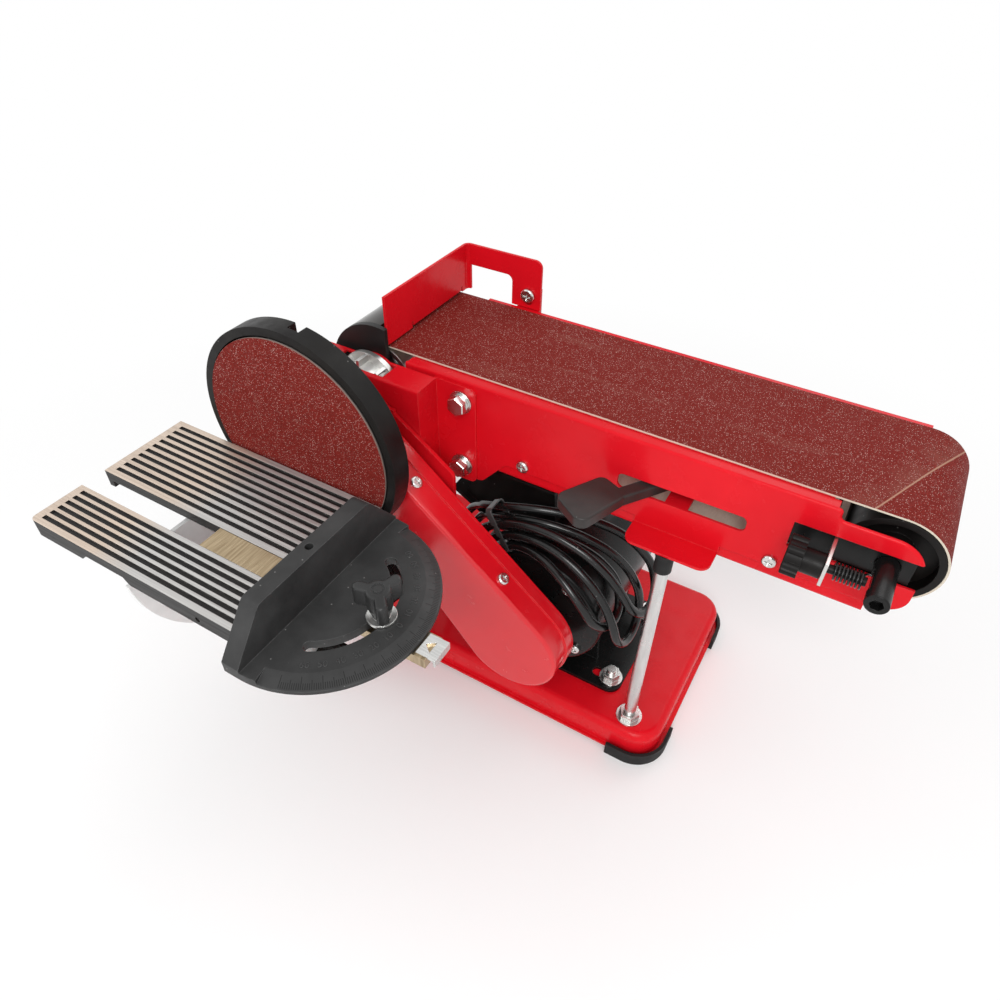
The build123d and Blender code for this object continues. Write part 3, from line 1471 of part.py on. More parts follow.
# Table top: ribbed casting with a slot for the miter bar
skirt_wall = 5.0
skirt_low = table_height - table_skirt
slot_half_width = miter_slot_width / 2
slot_floor_x = -112.0        # left of here the slot is open underneath
slot_floor = table_under + 0.2
rib_half = 15.0
groove_width = 3.2
groove_depth = 1.2
groove_border = 6.0
far_pitch = 6.3
far_grooves = 10
near_pitch = 5.7
near_grooves = 6
with BuildPart() as table_top:
    with BuildSketch(Plane.XY.offset(table_under)):
        outline(
            (table_left, table_rear, 0),
            (table_right, table_rear, 0),
            (table_right, table_front, 4),
            (table_left, table_front, 4),
        )
    extrude(amount=table_plate)
    with BuildSketch(Plane.XY.offset(skirt_low)):
        outline(
            (table_left, table_rear, 0),
            (table_right, table_rear, 0),
            (table_right, table_front, 4),
            (table_left, table_front, 4),
        )
        box_at(
            table_left + skirt_wall,
            table_right - skirt_wall,
            table_front + skirt_wall,
            table_rear + 1,
            Mode.SUBTRACT,
        )
    extrude(amount=table_under - skirt_low)
    with BuildSketch(Plane.XY.offset(skirt_low + 0.5)):
        box_at(slot_floor_x, table_right, miter_slot_y - rib_half, miter_slot_y + rib_half)
    extrude(amount=table_under - skirt_low)
    with BuildSketch(Plane.XY.offset(slot_floor)):
        box_at(
            table_left - 1,
            table_right + 1,
            miter_slot_y - slot_half_width,
            miter_slot_y + slot_half_width,
        )
    extrude(amount=table_plate, mode=Mode.SUBTRACT)
    with BuildSketch(Plane.XY.offset(skirt_low - 1)):
        box_at(
            table_left - 1,
            slot_floor_x,
            miter_slot_y - slot_half_width,
            miter_slot_y + slot_half_width,
        )
    extrude(amount=table_skirt + 2, mode=Mode.SUBTRACT)
    with BuildSketch(side_plane(table_front + skirt_wall + 1)):
        Polygon(
            (-183, skirt_low - 1),
            (-137, skirt_low - 1),
            (-142, skirt_low + 5),
            (-178, skirt_low + 5),
            align=None,
        )
        disc_at(-77, skirt_low + 5, 2)
    extrude(amount=skirt_wall + 2, mode=Mode.SUBTRACT)
    with BuildSketch(Plane.XY.offset(table_height)):
        groove_spots = [table_rear - 6 - far_pitch * i for i in range(far_grooves)]
        groove_spots += [miter_slot_y - slot_half_width - 5 - near_pitch * i for i in range(near_grooves)]
        for y in groove_spots:
            box_at(
                table_left + groove_border,
                table_right - groove_border,
                y - groove_width / 2,
                y + groove_width / 2,
            )
    extrude(amount=-groove_depth, mode=Mode.SUBTRACT)
save(table_top, "table_top")

# Quadrants under the table, with the pivots they swing on
quadrant_from = 185.0        # degrees round the tilt axis
quadrant_to = 250.0
lock_slot_half = 3.6
outer_face = quadrant_spread + quadrant_plate


def from_pivot(angle, reach):
    """A point of the quadrant, in (y, z)."""
    turn = math.radians(angle)
    return tilt_y + reach * math.cos(turn), tilt_z + reach * math.sin(turn)


slot_to = 180 + lock_direction
slot_from = slot_to - table_max_tilt
with BuildPart() as tilt_quadrants:
    for x in (drive_x - outer_face, drive_x + quadrant_spread):
        with BuildSketch(end_plane(x)):
            Polygon(
                (tilt_y, tilt_z),
                from_pivot(quadrant_from, 2 * quadrant_radius),
                from_pivot(quadrant_to, 2 * quadrant_radius),
                align=None,
            )
            disc_at(tilt_y, tilt_z, quadrant_radius, Mode.INTERSECT)
            box_at(table_front + skirt_wall + 2, tilt_y + lug_radius, tilt_z - 10, table_under)
            box_at(tilt_y, tilt_y + lug_radius + 1, tilt_z - 12, tilt_z, Mode.SUBTRACT)
            disc_at(tilt_y, tilt_z, lug_radius)
            disc_at(tilt_y, tilt_z, pivot_radius + run_gap, Mode.SUBTRACT)
            box_at(
                miter_slot_y - rib_half - 1,
                miter_slot_y + rib_half + 1,
                skirt_low + 0.2,
                table_height,
                Mode.SUBTRACT,
            )
            SlotArc(
                Edge.make_circle(
                    quadrant_slot_radius, start_angle=slot_from, end_angle=slot_to
                ).moved(Location((tilt_y, tilt_z, 0))),
                2 * lock_slot_half,
                mode=Mode.SUBTRACT,
            )
        extrude(amount=quadrant_plate)
save(tilt_quadrants, "tilt_quadrants")

pin_inner = ear_inner - 2
pin_head = outer_face + seat_gap
with BuildPart() as table_pivots:
    for side in (-1, 1):
        head = facing((drive_x + side * pin_head, tilt_y, tilt_z), (side, 0, 0))
        with Locations(head):
            add(pan_screw(7, 4, pivot_radius, pin_head - pin_inner))
    with Locations(facing((drive_x - pin_head, lock_y, lock_z), (-1, 0, 0))):
        add(hex_bolt(10, 4, lock_bolt_radius, pin_head - pin_inner, washer=8))
save(table_pivots, "table_pivots")

with BuildPart() as table_lock_knob:
    with BuildSketch(end_plane(drive_x + pin_head)):
        disc_at(lock_y, lock_z, 8)
    extrude(amount=5)
    with BuildSketch(end_plane(drive_x + pin_head + 5)):
        with Locations((lock_y, lock_z)):
            Circle(11)
            with PolarLocations(10, 5):
                Circle(5)
    extrude(amount=14)
    fillet(table_lock_knob.faces().sort_by(Axis.X)[-1].edges(), 2)
    with BuildSketch(end_plane(drive_x + pin_inner)):
        disc_at(lock_y, lock_z, lock_bolt_radius - run_gap)
    extrude(amount=pin_head - pin_inner + 2)
save(table_lock_knob, "table_lock_knob")

# Miter gauge: bar with its pivot pin, pointer, protractor head and clamping knob
bar_left = miter_pivot_x - bar_left_reach
bar_right = miter_pivot_x + bar_right_reach
bar_low = slot_floor + slide_gap
bar_high = bar_low + miter_bar_thickness
head_low = table_height + slide_gap
head_high = head_low + miter_plate
miter_knob_x = miter_pivot_x + miter_slot_radius
pin_radius = 4.0
pin_rise = 4.0
clamp_radius = 3.0
with BuildPart() as miter_bar:
    with BuildSketch(Plane.XY.offset(bar_low)):
        box_at(
            bar_left,
            bar_right,
            miter_slot_y - slot_half_width + slide_gap,
            miter_slot_y + slot_half_width - slide_gap,
        )
        disc_at(miter_knob_x, miter_slot_y, clamp_radius + run_gap, Mode.SUBTRACT)
    extrude(amount=miter_bar_thickness)
    with BuildSketch(Plane.XY.offset(bar_high)):
        disc_at(miter_pivot_x, miter_slot_y, pin_radius)
    extrude(amount=head_low + pin_rise - bar_high)
save(miter_bar, "miter_bar")

pointer_left = miter_pivot_x + miter_radius + 1
pointer_right = bar_right + 6
pointer_half = 7.5
pointer_plate = 1.5
with BuildPart() as miter_pointer:
    with BuildSketch(Plane.XY.offset(bar_high)):
        box_at(pointer_left, pointer_right, miter_slot_y - pointer_half, miter_slot_y + pointer_half)
        Polygon(
            (pointer_left + 2, miter_slot_y),
            (pointer_left + 7, miter_slot_y - 4),
            (pointer_left + 7, miter_slot_y + 4),
            align=None,
            mode=Mode.SUBTRACT,
        )
    extrude(amount=pointer_plate)
    with BuildSketch(Plane.XY.offset(bar_high - 4)):
        box_at(
            pointer_right - pointer_plate,
            pointer_right,
            miter_slot_y - pointer_half,
            miter_slot_y + pointer_half,
        )
    extrude(amount=4)
save(miter_pointer, "miter_pointer")

# Protractor head: a half disc with a bevelled scale and a fence that falls away at both ends
fence_rear = miter_pivot_x + 1.4
fence_front = fence_rear - fence_thickness
fence_top = table_height + fence_height
head_near = miter_slot_y - miter_radius
head_far = miter_slot_y + miter_radius
band_start = math.radians(-miter_band_half)
band_plane = Plane(
    origin=(miter_pivot_x, miter_slot_y, 0),
    x_dir=(math.cos(band_start), math.sin(band_start), 0),
    z_dir=(math.sin(band_start), -math.cos(band_start), 0),
)
with BuildPart() as miter_protractor:
    with BuildSketch(Plane.XY.offset(head_low)):
        disc_at(miter_pivot_x, miter_slot_y, miter_radius)
        box_at(fence_front, miter_pivot_x + miter_radius + 1, head_near - 1, head_far + 1, Mode.INTERSECT)
        box_at(fence_front, miter_pivot_x, head_near, head_far)
    extrude(amount=miter_plate)
    with BuildSketch(band_plane):
        Polygon(
            (miter_radius - miter_band, head_high),
            (miter_radius + 1, head_high + 1),
            (miter_radius + 1, head_high - miter_band_fall),
            align=None,
        )
    revolve(
        axis=Axis((miter_pivot_x, miter_slot_y, 0), (0, 0, 1)),
        revolution_arc=2 * miter_band_half,
        mode=Mode.SUBTRACT,
    )
    with BuildSketch(end_plane(fence_front)):
        outline(
            (head_near, head_low + 1, 0),
            (head_near, head_high + 2, 0),
            (miter_slot_y - fence_half_top, fence_top, 6),
            (miter_slot_y + fence_half_top, fence_top, 6),
            (head_far, head_high + 2, 0),
            (head_far, head_low + 1, 0),
        )
    extrude(amount=fence_thickness)
    with BuildSketch(Plane.XY.offset(fence_top)):
        disc_at((fence_front + fence_rear) / 2, miter_slot_y, 2.6)
    extrude(amount=-fence_height / 2, mode=Mode.SUBTRACT)
    with BuildSketch(Plane.XY.offset(head_low)):
        disc_at(miter_pivot_x, miter_slot_y, pin_radius + run_gap)
    extrude(amount=pin_rise + seat_gap, mode=Mode.SUBTRACT)
    with BuildSketch(Plane.XY.offset(head_low)):
        SlotArc(
            Edge.make_circle(miter_slot_radius, start_angle=-60, end_angle=60).moved(
                Location((miter_pivot_x, miter_slot_y, 0))
            ),
            2 * (clamp_radius + 0.5),
        )
    extrude(amount=miter_plate + 1, mode=Mode.SUBTRACT)
save(miter_protractor, "miter_protractor")

# Three-winged knob with its washer and clamping bolt
washer_top = head_high + seat_gap + 1.5
knob_stem = 9.0
knob_wing_low = washer_top + knob_stem
knob_wing_height = 13.0
knob_wing_reach = 15.5
with BuildPart() as miter_knob:
    with BuildSketch(Plane.XY.offset(head_high + seat_gap)):
        disc_at(miter_knob_x, miter_slot_y, 9)
    extrude(amount=1.5)
    with BuildSketch(Plane.XY.offset(washer_top)):
        disc_at(miter_knob_x, miter_slot_y, 5)
    with BuildSketch(Plane.XY.offset(knob_wing_low)):
        disc_at(miter_knob_x, miter_slot_y, 7.5)
    loft()
    with BuildSketch(Plane.XY.offset(knob_wing_low)):
        with Locations((miter_knob_x, miter_slot_y)):
            Circle(7.5)
            with PolarLocations(knob_wing_reach - 6, 3, start_angle=75):
                SlotOverall(12, 7)
    extrude(amount=knob_wing_height)
    fillet(miter_knob.faces().sort_by(Axis.Z)[-1].edges(), 2)
    with BuildSketch(Plane.XY.offset(knob_wing_low + knob_wing_height)):
        with Locations((miter_knob_x, miter_slot_y)):
            Circle(4)
            Circle(2.6, mode=Mode.SUBTRACT)
    extrude(amount=-0.6, mode=Mode.SUBTRACT)
    with BuildSketch(Plane.XY.offset(bar_low + 0.5)):
        disc_at(miter_knob_x, miter_slot_y, clamp_radius)
    extrude(amount=washer_top - bar_low)
save(miter_knob, "miter_knob")

# Cord: a tied hank laid over the motor, its tail with the plug, and its free turn to the gland
across_axis = Vector(0, 1, 0)


def round_motor(angle, layer, across):
    """A point over the motor: degrees round its axis, layer of the hank, distance across."""
    reach = hank_base + hank_pitch * layer
    turn = math.radians(angle)
    return Vector(
        motor_x + reach * math.cos(turn),
        hank_y + across,
        motor_z + reach * math.sin(turn),
    )


def downhill(angle):
    """The way a strand heads when it goes round the motor toward smaller angles."""
    turn = math.radians(angle)
    return Vector(math.sin(turn), 0, -math.cos(turn))


def strand(loop, side, share):
    """A point of one run of a loop; share goes from the left shoulder to the right one."""
    right, shift = hank_right_ends[loop]
    angle = hank_left_angle + (right - hank_left_angle) * share
    on_left = angle > hank_waist_angle
    end = hank_left_angle if on_left else right
    spread = (angle - hank_waist_angle) / (end - hank_waist_angle)
    ease = (1 - math.cos(math.pi * spread)) / 2
    drift = 0 if on_left else shift * ease
    across = cord_waist + (cord_fold - cord_waist) * ease
    climb = (1 + math.cos(math.pi * share)) / 2 if side > 0 else 0
    return round_motor(angle, loop + climb, drift + side * across)


def strand_stations(loop, side):
    """Points and directions along one run, from the left shoulder to the right one."""
    right, _ = hank_right_ends[loop]
    stations = [(strand(loop, side, 0), downhill(hank_left_angle))]
    for step in range(1, 8):
        way = strand(loop, side, step / 8 + 0.002) - strand(loop, side, step / 8 - 0.002)
        stations.append((strand(loop, side, step / 8), way.normalized()))
    stations.append((strand(loop, side, 1), downhill(right)))
    return stations


left_way = downhill(hank_left_angle) * -1
tail_top = round_motor(hank_left_angle, 0, -cord_fold)
tail_start = tail_top + left_way * (2 * cord_radius)
hank_route = [(tail_start, left_way * -1)]
for loop, (right, shift) in enumerate(hank_right_ends):
    hank_route += strand_stations(loop, -1)
    hank_route.append((round_motor(right, loop, shift) + downhill(right) * cord_fold, across_axis))
    hank_route += [(point, way * -1) for point, way in reversed(strand_stations(loop, 1))]
    if loop < hank_loops - 1:
        left_tip = round_motor(hank_left_angle, loop + 1, 0) + left_way * cord_fold
        hank_route.append((left_tip, across_axis * -1))
gland_length = 24.0
hank_end = hank_route[-1][0] + left_way * gland_length
hank_route.append((hank_end, left_way))
with BuildPart() as cord_hank:
    with BuildLine() as hank_line:
        for (p1, w1), (p2, w2) in zip(hank_route, hank_route[1:]):
            biarc(p1, w1, p2, w2)
    with BuildSketch(Plane(origin=tail_start, z_dir=hank_route[0][1])):
        Circle(cord_radius)
    sweep(path=hank_line.wires()[0])
print("hank gap", round(least_gap(hank_line.wires()[0], 2 * cord_radius, 40, 1200), 2))
print("hank length", round(hank_line.wires()[0].length))
save(cord_hank, "cord_hank")


def free_stretch(points, node):
    """A length of cord: straight runs joined by arcs as large as the runs allow."""
    runs = [b - a for a, b in zip(points, points[1:])]
    bends = []
    for a, b in zip(runs, runs[1:]):
        half_turn = math.radians(a.get_angle(b)) / 2
        bends.append(0.45 * min(a.length, b.length) / math.tan(half_turn))
    with BuildPart() as stretch:
        with BuildLine() as line:
            FilletPolyline(*points, radius=bends)
        with BuildSketch(Plane(origin=points[0], z_dir=runs[0])):
            Circle(cord_radius)
        sweep(path=line.wires()[0])
    length = line.wires()[0].length
    print(node, "bends", [round(r, 1) for r in bends], "length", round(length))
    print(node, "volume ratio", round(stretch.part.volume / (math.pi * cord_radius**2 * length), 4))
    save(stretch, node)


# Turn from the hank's end into the gland: distance down from the gland, distance across
turn_deep = gland_length + turn_run
turn_corner = Vector(gland_x, hank_end.Y, gland_z)
free_stretch(
    [
        turn_corner + left_way * down + across_axis * across
        for down, across in (
            (gland_length, 0),
            (turn_deep, 0),
            (turn_deep + turn_slant, turn_slant),
            (turn_deep + turn_slant, turn_slant + turn_run),
            (turn_deep, cord_turn),
            (gland_length, cord_turn),
        )
    ],
    "power_cord",
)

# Tail from the hank down to the plug on the base
plug_half = 11.0
plug_length = 36.0
plug_z = base_top + plug_half + seat_gap
plug_start = Vector(-58, -6, plug_z)
free_stretch(
    [
        tail_start,
        tail_start + left_way * 33,
        Vector(-43, -86, base_top + 52),
        Vector(-55, -66, base_top + 26),
        Vector(-58, -36, plug_z),
        plug_start,
    ],
    "cord_tail",
)

with BuildPart() as strain_relief:
    with BuildSketch(gland_seat):
        Circle(8)
    extrude(amount=3)
    with BuildSketch(gland_seat.offset(3)):
        Circle(6.5)
    with BuildSketch(gland_seat.offset(gland_length)):
        Circle(cord_radius + 1)
    loft()
save(strain_relief, "strain_relief")

# Tie round the waist of the hank
tie_wall = 1.2
tie_width = 5.0
tie_low = motor_radius + seat_gap
tie_high = hank_base + hank_pitch * (hank_loops - 0.15) + cord_radius + 0.6 + tie_wall
tie_half = cord_waist + cord_radius + 0.5 + tie_wall
waist_turn = math.radians(hank_waist_angle)
waist_out = Vector(math.cos(waist_turn), 0, math.sin(waist_turn))
tie_plane = Plane(
    origin=Vector(motor_x, hank_y, motor_z) + waist_out * ((tie_low + tie_high) / 2),
    x_dir=waist_out,
    z_dir=downhill(hank_waist_angle),
)
with BuildPart() as cord_tie:
    with BuildSketch(tie_plane.offset(-tie_width / 2)):
        RectangleRounded(tie_high - tie_low, 2 * tie_half, 4)
        RectangleRounded(
            tie_high - tie_low - 2 * tie_wall,
            2 * (tie_half - tie_wall),
            2.8,
            mode=Mode.SUBTRACT,
        )
    extrude(amount=tie_width)
save(cord_tie, "cord_tie")

# Plug lying on the base
plug_plane = Plane(origin=plug_start, x_dir=(-1, 0, 0), z_dir=across_axis)
with BuildPart() as plug:
    with BuildSketch(plug_plane):
        Circle(cord_radius + 2)
    with BuildSketch(plug_plane.offset(14)):
        RectangleRounded(2 * plug_half, 2 * plug_half, 6)
    loft()
    with BuildSketch(plug_plane.offset(14)):
        RectangleRounded(2 * plug_half, 2 * plug_half, 6)
    extrude(amount=plug_length - 14)
    with BuildSketch(plug_plane.offset(plug_length)):
        for side in (-1, 1):
            with Locations((6.35 * side, 3)):
                Rectangle(1.6, 6.4)
        with Locations((0, -6)):
            Circle(2.4)
    extrude(amount=17)
save(plug, "plug")
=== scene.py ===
import math

import bpy
from mathutils import Matrix, Vector


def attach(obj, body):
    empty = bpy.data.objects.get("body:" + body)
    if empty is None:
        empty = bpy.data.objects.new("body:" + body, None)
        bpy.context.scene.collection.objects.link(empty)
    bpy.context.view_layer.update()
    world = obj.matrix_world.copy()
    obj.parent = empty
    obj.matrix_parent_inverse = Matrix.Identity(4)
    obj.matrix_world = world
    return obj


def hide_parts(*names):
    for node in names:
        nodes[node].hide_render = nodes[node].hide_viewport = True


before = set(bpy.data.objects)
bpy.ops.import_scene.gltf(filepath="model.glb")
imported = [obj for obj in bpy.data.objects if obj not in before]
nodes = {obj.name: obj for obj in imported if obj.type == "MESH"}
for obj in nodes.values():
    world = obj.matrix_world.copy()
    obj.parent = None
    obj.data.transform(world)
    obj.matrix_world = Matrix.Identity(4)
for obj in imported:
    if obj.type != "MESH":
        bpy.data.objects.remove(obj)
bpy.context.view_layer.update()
scene = bpy.context.scene

# Camera at the photograph's place
CAMERA_AT = Vector((0.183361, -0.3340, 0.5886))
PITCH = math.radians(41.85)
YAW = math.radians(29.8)
ROLL = math.radians(0.93)
FOCAL_SHARE = 0.752          # focal length as a share of the picture's width
SENSOR_WIDTH = 36            # millimetres

ahead = Vector(
    (-math.sin(YAW) * math.cos(PITCH), math.cos(YAW) * math.cos(PITCH), -math.sin(PITCH))
)
level = Vector((math.cos(YAW), math.sin(YAW), 0))
above = level.cross(ahead)
right = level * math.cos(ROLL) + above * math.sin(ROLL)
upward = above * math.cos(ROLL) - level * math.sin(ROLL)
camera_data = bpy.data.cameras.new("camera")
camera_data.sensor_width = SENSOR_WIDTH
camera_data.lens = SENSOR_WIDTH * FOCAL_SHARE
camera = bpy.data.objects.new("camera", camera_data)
turn = Matrix((right, upward, -ahead)).transposed().to_4x4()
camera.matrix_world = Matrix.Translation(CAMERA_AT) @ turn
scene.collection.objects.link(camera)
scene.camera = camera

# Cord: from the gland through its free turn and the hank's loops to the plug. The route is in
# millimetres from the middle of the base, and the frame's origin is at MACHINE on that measure
MACHINE = Vector((32.839, -101.5, 0))
MOTOR_X, MOTOR_Z = 46.8, 120.6
CORD_RADIUS = 3.5
CORD_FOLD = 23.6             # radius of the hank's end folds
CORD_SHOULDER = 22.0         # distance across of the first and the last run
CORD_WAIST = 4.3             # half the spacing of the two runs at the tie
HANK_Y = -70.8
HANK_BASE = 61.0
HANK_PITCH = 10.6
WAIST_ANGLE = 118.0
LEFT_ANGLE = 150.0
RIGHT_ENDS = [(36.0, 0.0), (14.0, 10.0), (31.0, 22.0)]  # angle and shift across, by loop
RUN_POINTS = 8               # points along each run of a loop
RUN_MARGIN = 0.045           # share of a run left free at its ends
FOLD_POINTS = 6              # points round each end fold
GLAND_LENGTH = 24.0
TURN_RUN = 27.0
TURN_SLANT = TURN_RUN * math.sqrt(0.5)
CORD_TURN = TURN_RUN + 2 * TURN_SLANT
TAIL_DROP = 33.0             # straight stretch of the tail below the hank
TAIL_POINTS = [(-43, -86, 84), (-55, -66, 58), (-58, -36, 43.3), (-58, -6, 43.3)]
ACROSS = Vector((0, 1, 0))


def round_motor(angle, layer, across):
    """A point over the motor: degrees round its axis, layer of the hank, distance across."""
    reach = HANK_BASE + HANK_PITCH * layer
    a = math.radians(angle)
    return Vector((MOTOR_X + reach * math.cos(a), HANK_Y + across, MOTOR_Z + reach * math.sin(a)))


def downhill(angle):
    """The way a strand heads when it goes round the motor toward smaller angles."""
    a = math.radians(angle)
    return Vector((math.sin(a), 0, -math.cos(a)))


def strand(loop, side, share):
    """A point of one run of a loop; share goes from the left shoulder to the right one."""
    right_angle, shift = RIGHT_ENDS[loop]
    angle = LEFT_ANGLE + (right_angle - LEFT_ANGLE) * share
    on_left = angle > WAIST_ANGLE
    end = LEFT_ANGLE if on_left else right_angle
    spread = (angle - WAIST_ANGLE) / (end - WAIST_ANGLE)
    ease = (1 - math.cos(math.pi * spread)) / 2
    drift = 0 if on_left else shift * ease
    across = CORD_WAIST + (CORD_FOLD - CORD_WAIST) * ease
    climb = (1 + math.cos(math.pi * share)) / 2 if side > 0 else 0
    return round_motor(angle, loop + climb, drift + side * across)


def end_turn(centre, first, outward):
    """Points of the hank's half turn at one end of a loop, from the side called first."""
    step = math.pi / FOLD_POINTS
    reach = CORD_FOLD / math.cos(step / 2)
    angles = [step * (i + 0.5) for i in range(FOLD_POINTS)]
    return [centre + reach * (math.cos(a) * first + math.sin(a) * outward) for a in angles]


RUN = [RUN_MARGIN + (1 - 2 * RUN_MARGIN) * i / (RUN_POINTS - 1) for i in range(RUN_POINTS)]
left_way = -downhill(LEFT_ANGLE)
turn_corner = round_motor(LEFT_ANGLE, len(RIGHT_ENDS), CORD_SHOULDER)
turn_deep = GLAND_LENGTH + TURN_RUN
route = [
    turn_corner + left_way * down + ACROSS * across
    for down, across in (
        (GLAND_LENGTH, CORD_TURN),
        (turn_deep, CORD_TURN),
        (turn_deep + TURN_SLANT, TURN_SLANT + TURN_RUN),
        (turn_deep + TURN_SLANT, TURN_SLANT),
        (turn_deep, 0),
        (GLAND_LENGTH, 0),
    )
]
for loop in reversed(range(len(RIGHT_ENDS))):
    right_angle, shift = RIGHT_ENDS[loop]
    route += [strand(loop, 1, share) for share in RUN]
    route += end_turn(round_motor(right_angle, loop, shift), ACROSS, downhill(right_angle))
    route += [strand(loop, -1, share) for share in reversed(RUN)]
    if loop:
        route += end_turn(round_motor(LEFT_ANGLE, loop, 0), -ACROSS, left_way)
tail_start = round_motor(LEFT_ANGLE, 0, -CORD_SHOULDER) + left_way * (2 * CORD_RADIUS)
route += [tail_start, tail_start + left_way * TAIL_DROP]
route += [Vector(point) for point in TAIL_POINTS]
route = [(point - MACHINE) / 1000 for point in route]

curve = bpy.data.curves.new("power_cord_line", "CURVE")
curve.dimensions = "3D"
spline = curve.splines.new("NURBS")
spline.points.add(len(route) - 1)
for point, place in zip(spline.points, route):
    point.co = (*place, 1)
    point.radius = CORD_RADIUS / 1000
spline.order_u = 3
spline.use_endpoint_u = True
spline.resolution_u = 8
curve.bevel_depth = 1.0
curve.bevel_resolution = 5
curve.use_fill_caps = True
cord = bpy.data.objects.new("mains_cord", curve)
scene.collection.objects.link(cord)
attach(cord, "base")
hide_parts("power_cord", "cord_hank", "cord_tail")


# Materials
# Cosines of the softened normal's turn where the painted edge highlight starts and where it is
# full
EDGE_FLAT, EDGE_FULL = 0.985, 0.86


def grey(level):
    """A neutral colour."""
    return (level, level, level)


class Shader:
    """A procedural material in the piece's own coordinates."""

    def __init__(self, name):
        self.material = bpy.data.materials.new(name)
        self.material.use_nodes = True
        self.tree = self.material.node_tree
        self.shader = self.tree.nodes["Principled BSDF"]
        self.place = self.add("ShaderNodeTexCoord").outputs["Object"]
        self.soft_normal = None

    def add(self, kind, **settings):
        """A new node with some of its settings."""
        node = self.tree.nodes.new(kind)
        for key, value in settings.items():
            setattr(node, key, value)
        return node

    def link(self, source, target):
        """Joins an output to an input, or sets a plain value on it."""
        if isinstance(source, (int, float, tuple)):
            target.default_value = source
        else:
            self.tree.links.new(source, target)

    def set(self, **values):
        """Sets plain values on the shader's own sockets."""
        for key, value in values.items():
            self.shader.inputs[key.replace("_", " ")].default_value = value

    def stretched(self, scale):
        """The piece's coordinates, scaled along each axis."""
        node = self.add("ShaderNodeMapping")
        node.inputs["Scale"].default_value = scale
        self.link(self.place, node.inputs["Vector"])
        return node.outputs["Vector"]

    def noise(self, scale, detail=3.0, rough=0.55, place=None):
        """Cloudy noise."""
        node = self.add("ShaderNodeTexNoise")
        node.inputs["Scale"].default_value = scale
        node.inputs["Detail"].default_value = detail
        node.inputs["Roughness"].default_value = rough
        self.link(place or self.place, node.inputs["Vector"])
        return node.outputs["Fac"]

    def cells(self, scale):
        """Distance to the nearest of many scattered points, and a random number for each."""
        node = self.add("ShaderNodeTexVoronoi")
        node.inputs["Scale"].default_value = scale
        self.link(self.place, node.inputs["Vector"])
        split = self.add("ShaderNodeSeparateColor")
        self.link(node.outputs["Color"], split.inputs[0])
        return node.outputs["Distance"], split.outputs[0]

    def span(self, value, low, high, out_low=0.0, out_high=1.0):
        """Maps a range onto another, clamped."""
        node = self.add("ShaderNodeMapRange")
        for key, number in (
            ("From Min", low),
            ("From Max", high),
            ("To Min", out_low),
            ("To Max", out_high),
        ):
            node.inputs[key].default_value = number
        self.link(value, node.inputs["Value"])
        return node.outputs["Result"]

    def math(self, operation, a, b=0.0):
        """One arithmetic step."""
        node = self.add("ShaderNodeMath", operation=operation)
        self.link(a, node.inputs[0])
        self.link(b, node.inputs[1])
        return node.outputs[0]

    def product(self, *values):
        """Several numbers multiplied."""
        result = values[0]
        for value in values[1:]:
            result = self.math("MULTIPLY", result, value)
        return result

    def mix(self, share, a, b):
        """A blend of two colours."""
        node = self.add("ShaderNodeMix", data_type="RGBA")
        self.link(share, node.inputs["Factor"])
        for name, value in (("A", a), ("B", b)):
            socket = [s for s in node.inputs if s.name == name and s.type == "RGBA"][0]
            self.link((*value, 1) if isinstance(value, tuple) else value, socket)
        return [s for s in node.outputs if s.type == "RGBA"][0]

    def axes(self, names):
        """The piece's coordinates along the named axes."""
        node = self.add("ShaderNodeSeparateXYZ")
        self.link(self.place, node.inputs["Vector"])
        return [node.outputs[name] for name in names]

    def edges(self, radius):
        """1 along the piece's edges and 0 on its faces; the edges are also shaded as rounded."""
        soft = self.add("ShaderNodeBevel", samples=4)
        soft.inputs["Radius"].default_value = radius
        self.soft_normal = soft.outputs["Normal"]
        node = self.add("ShaderNodeVectorMath", operation="DOT_PRODUCT")
        self.link(self.soft_normal, node.inputs[0])
        self.link(self.add("ShaderNodeNewGeometry").outputs["Normal"], node.inputs[1])
        return self.span(node.outputs["Value"], EDGE_FLAT, EDGE_FULL)

    def colour(self, source):
        """Drives the base colour."""
        self.link(source, self.shader.inputs["Base Color"])

    def roughness(self, source):
        """Drives the roughness."""
        self.link(source, self.shader.inputs["Roughness"])

    def metallic(self, source):
        """Drives how metallic the surface is."""
        self.link(source, self.shader.inputs["Metallic"])

    def bump(self, height, strength, distance=0.0002):
        """Surface relief from a height."""
        node = self.add("ShaderNodeBump")
        node.inputs["Strength"].default_value = strength
        node.inputs["Distance"].default_value = distance
        self.link(height, node.inputs["Height"])
        if self.soft_normal:
            self.link(self.soft_normal, node.inputs["Normal"])
        self.link(node.outputs["Normal"], self.shader.inputs["Normal"])


def paint(name, dark, light, lightened, rough, peel, shine):
    """Sprayed paint: orange peel, patchy gloss, and a painted highlight in patches along the
    edges.
    """
    s = Shader(name)
    body = s.mix(s.span(s.noise(9, 4), 0.35, 0.7), dark, light)
    # Painted highlight: a paler edge colour in noisy patches along the edges, standing in for
    # light caught by them
    edge_highlight = s.product(s.edges(0.0008), s.span(s.noise(120, 4), 0.4, 0.7, 0.15, 0.8))
    s.colour(s.mix(edge_highlight, body, lightened))
    s.roughness(s.span(s.noise(60, 5), 0.35, 0.7, rough - 0.05, rough + 0.08))
    s.set(Specular_IOR_Level=shine)
    s.bump(s.noise(420, 2), peel)
    return s.material


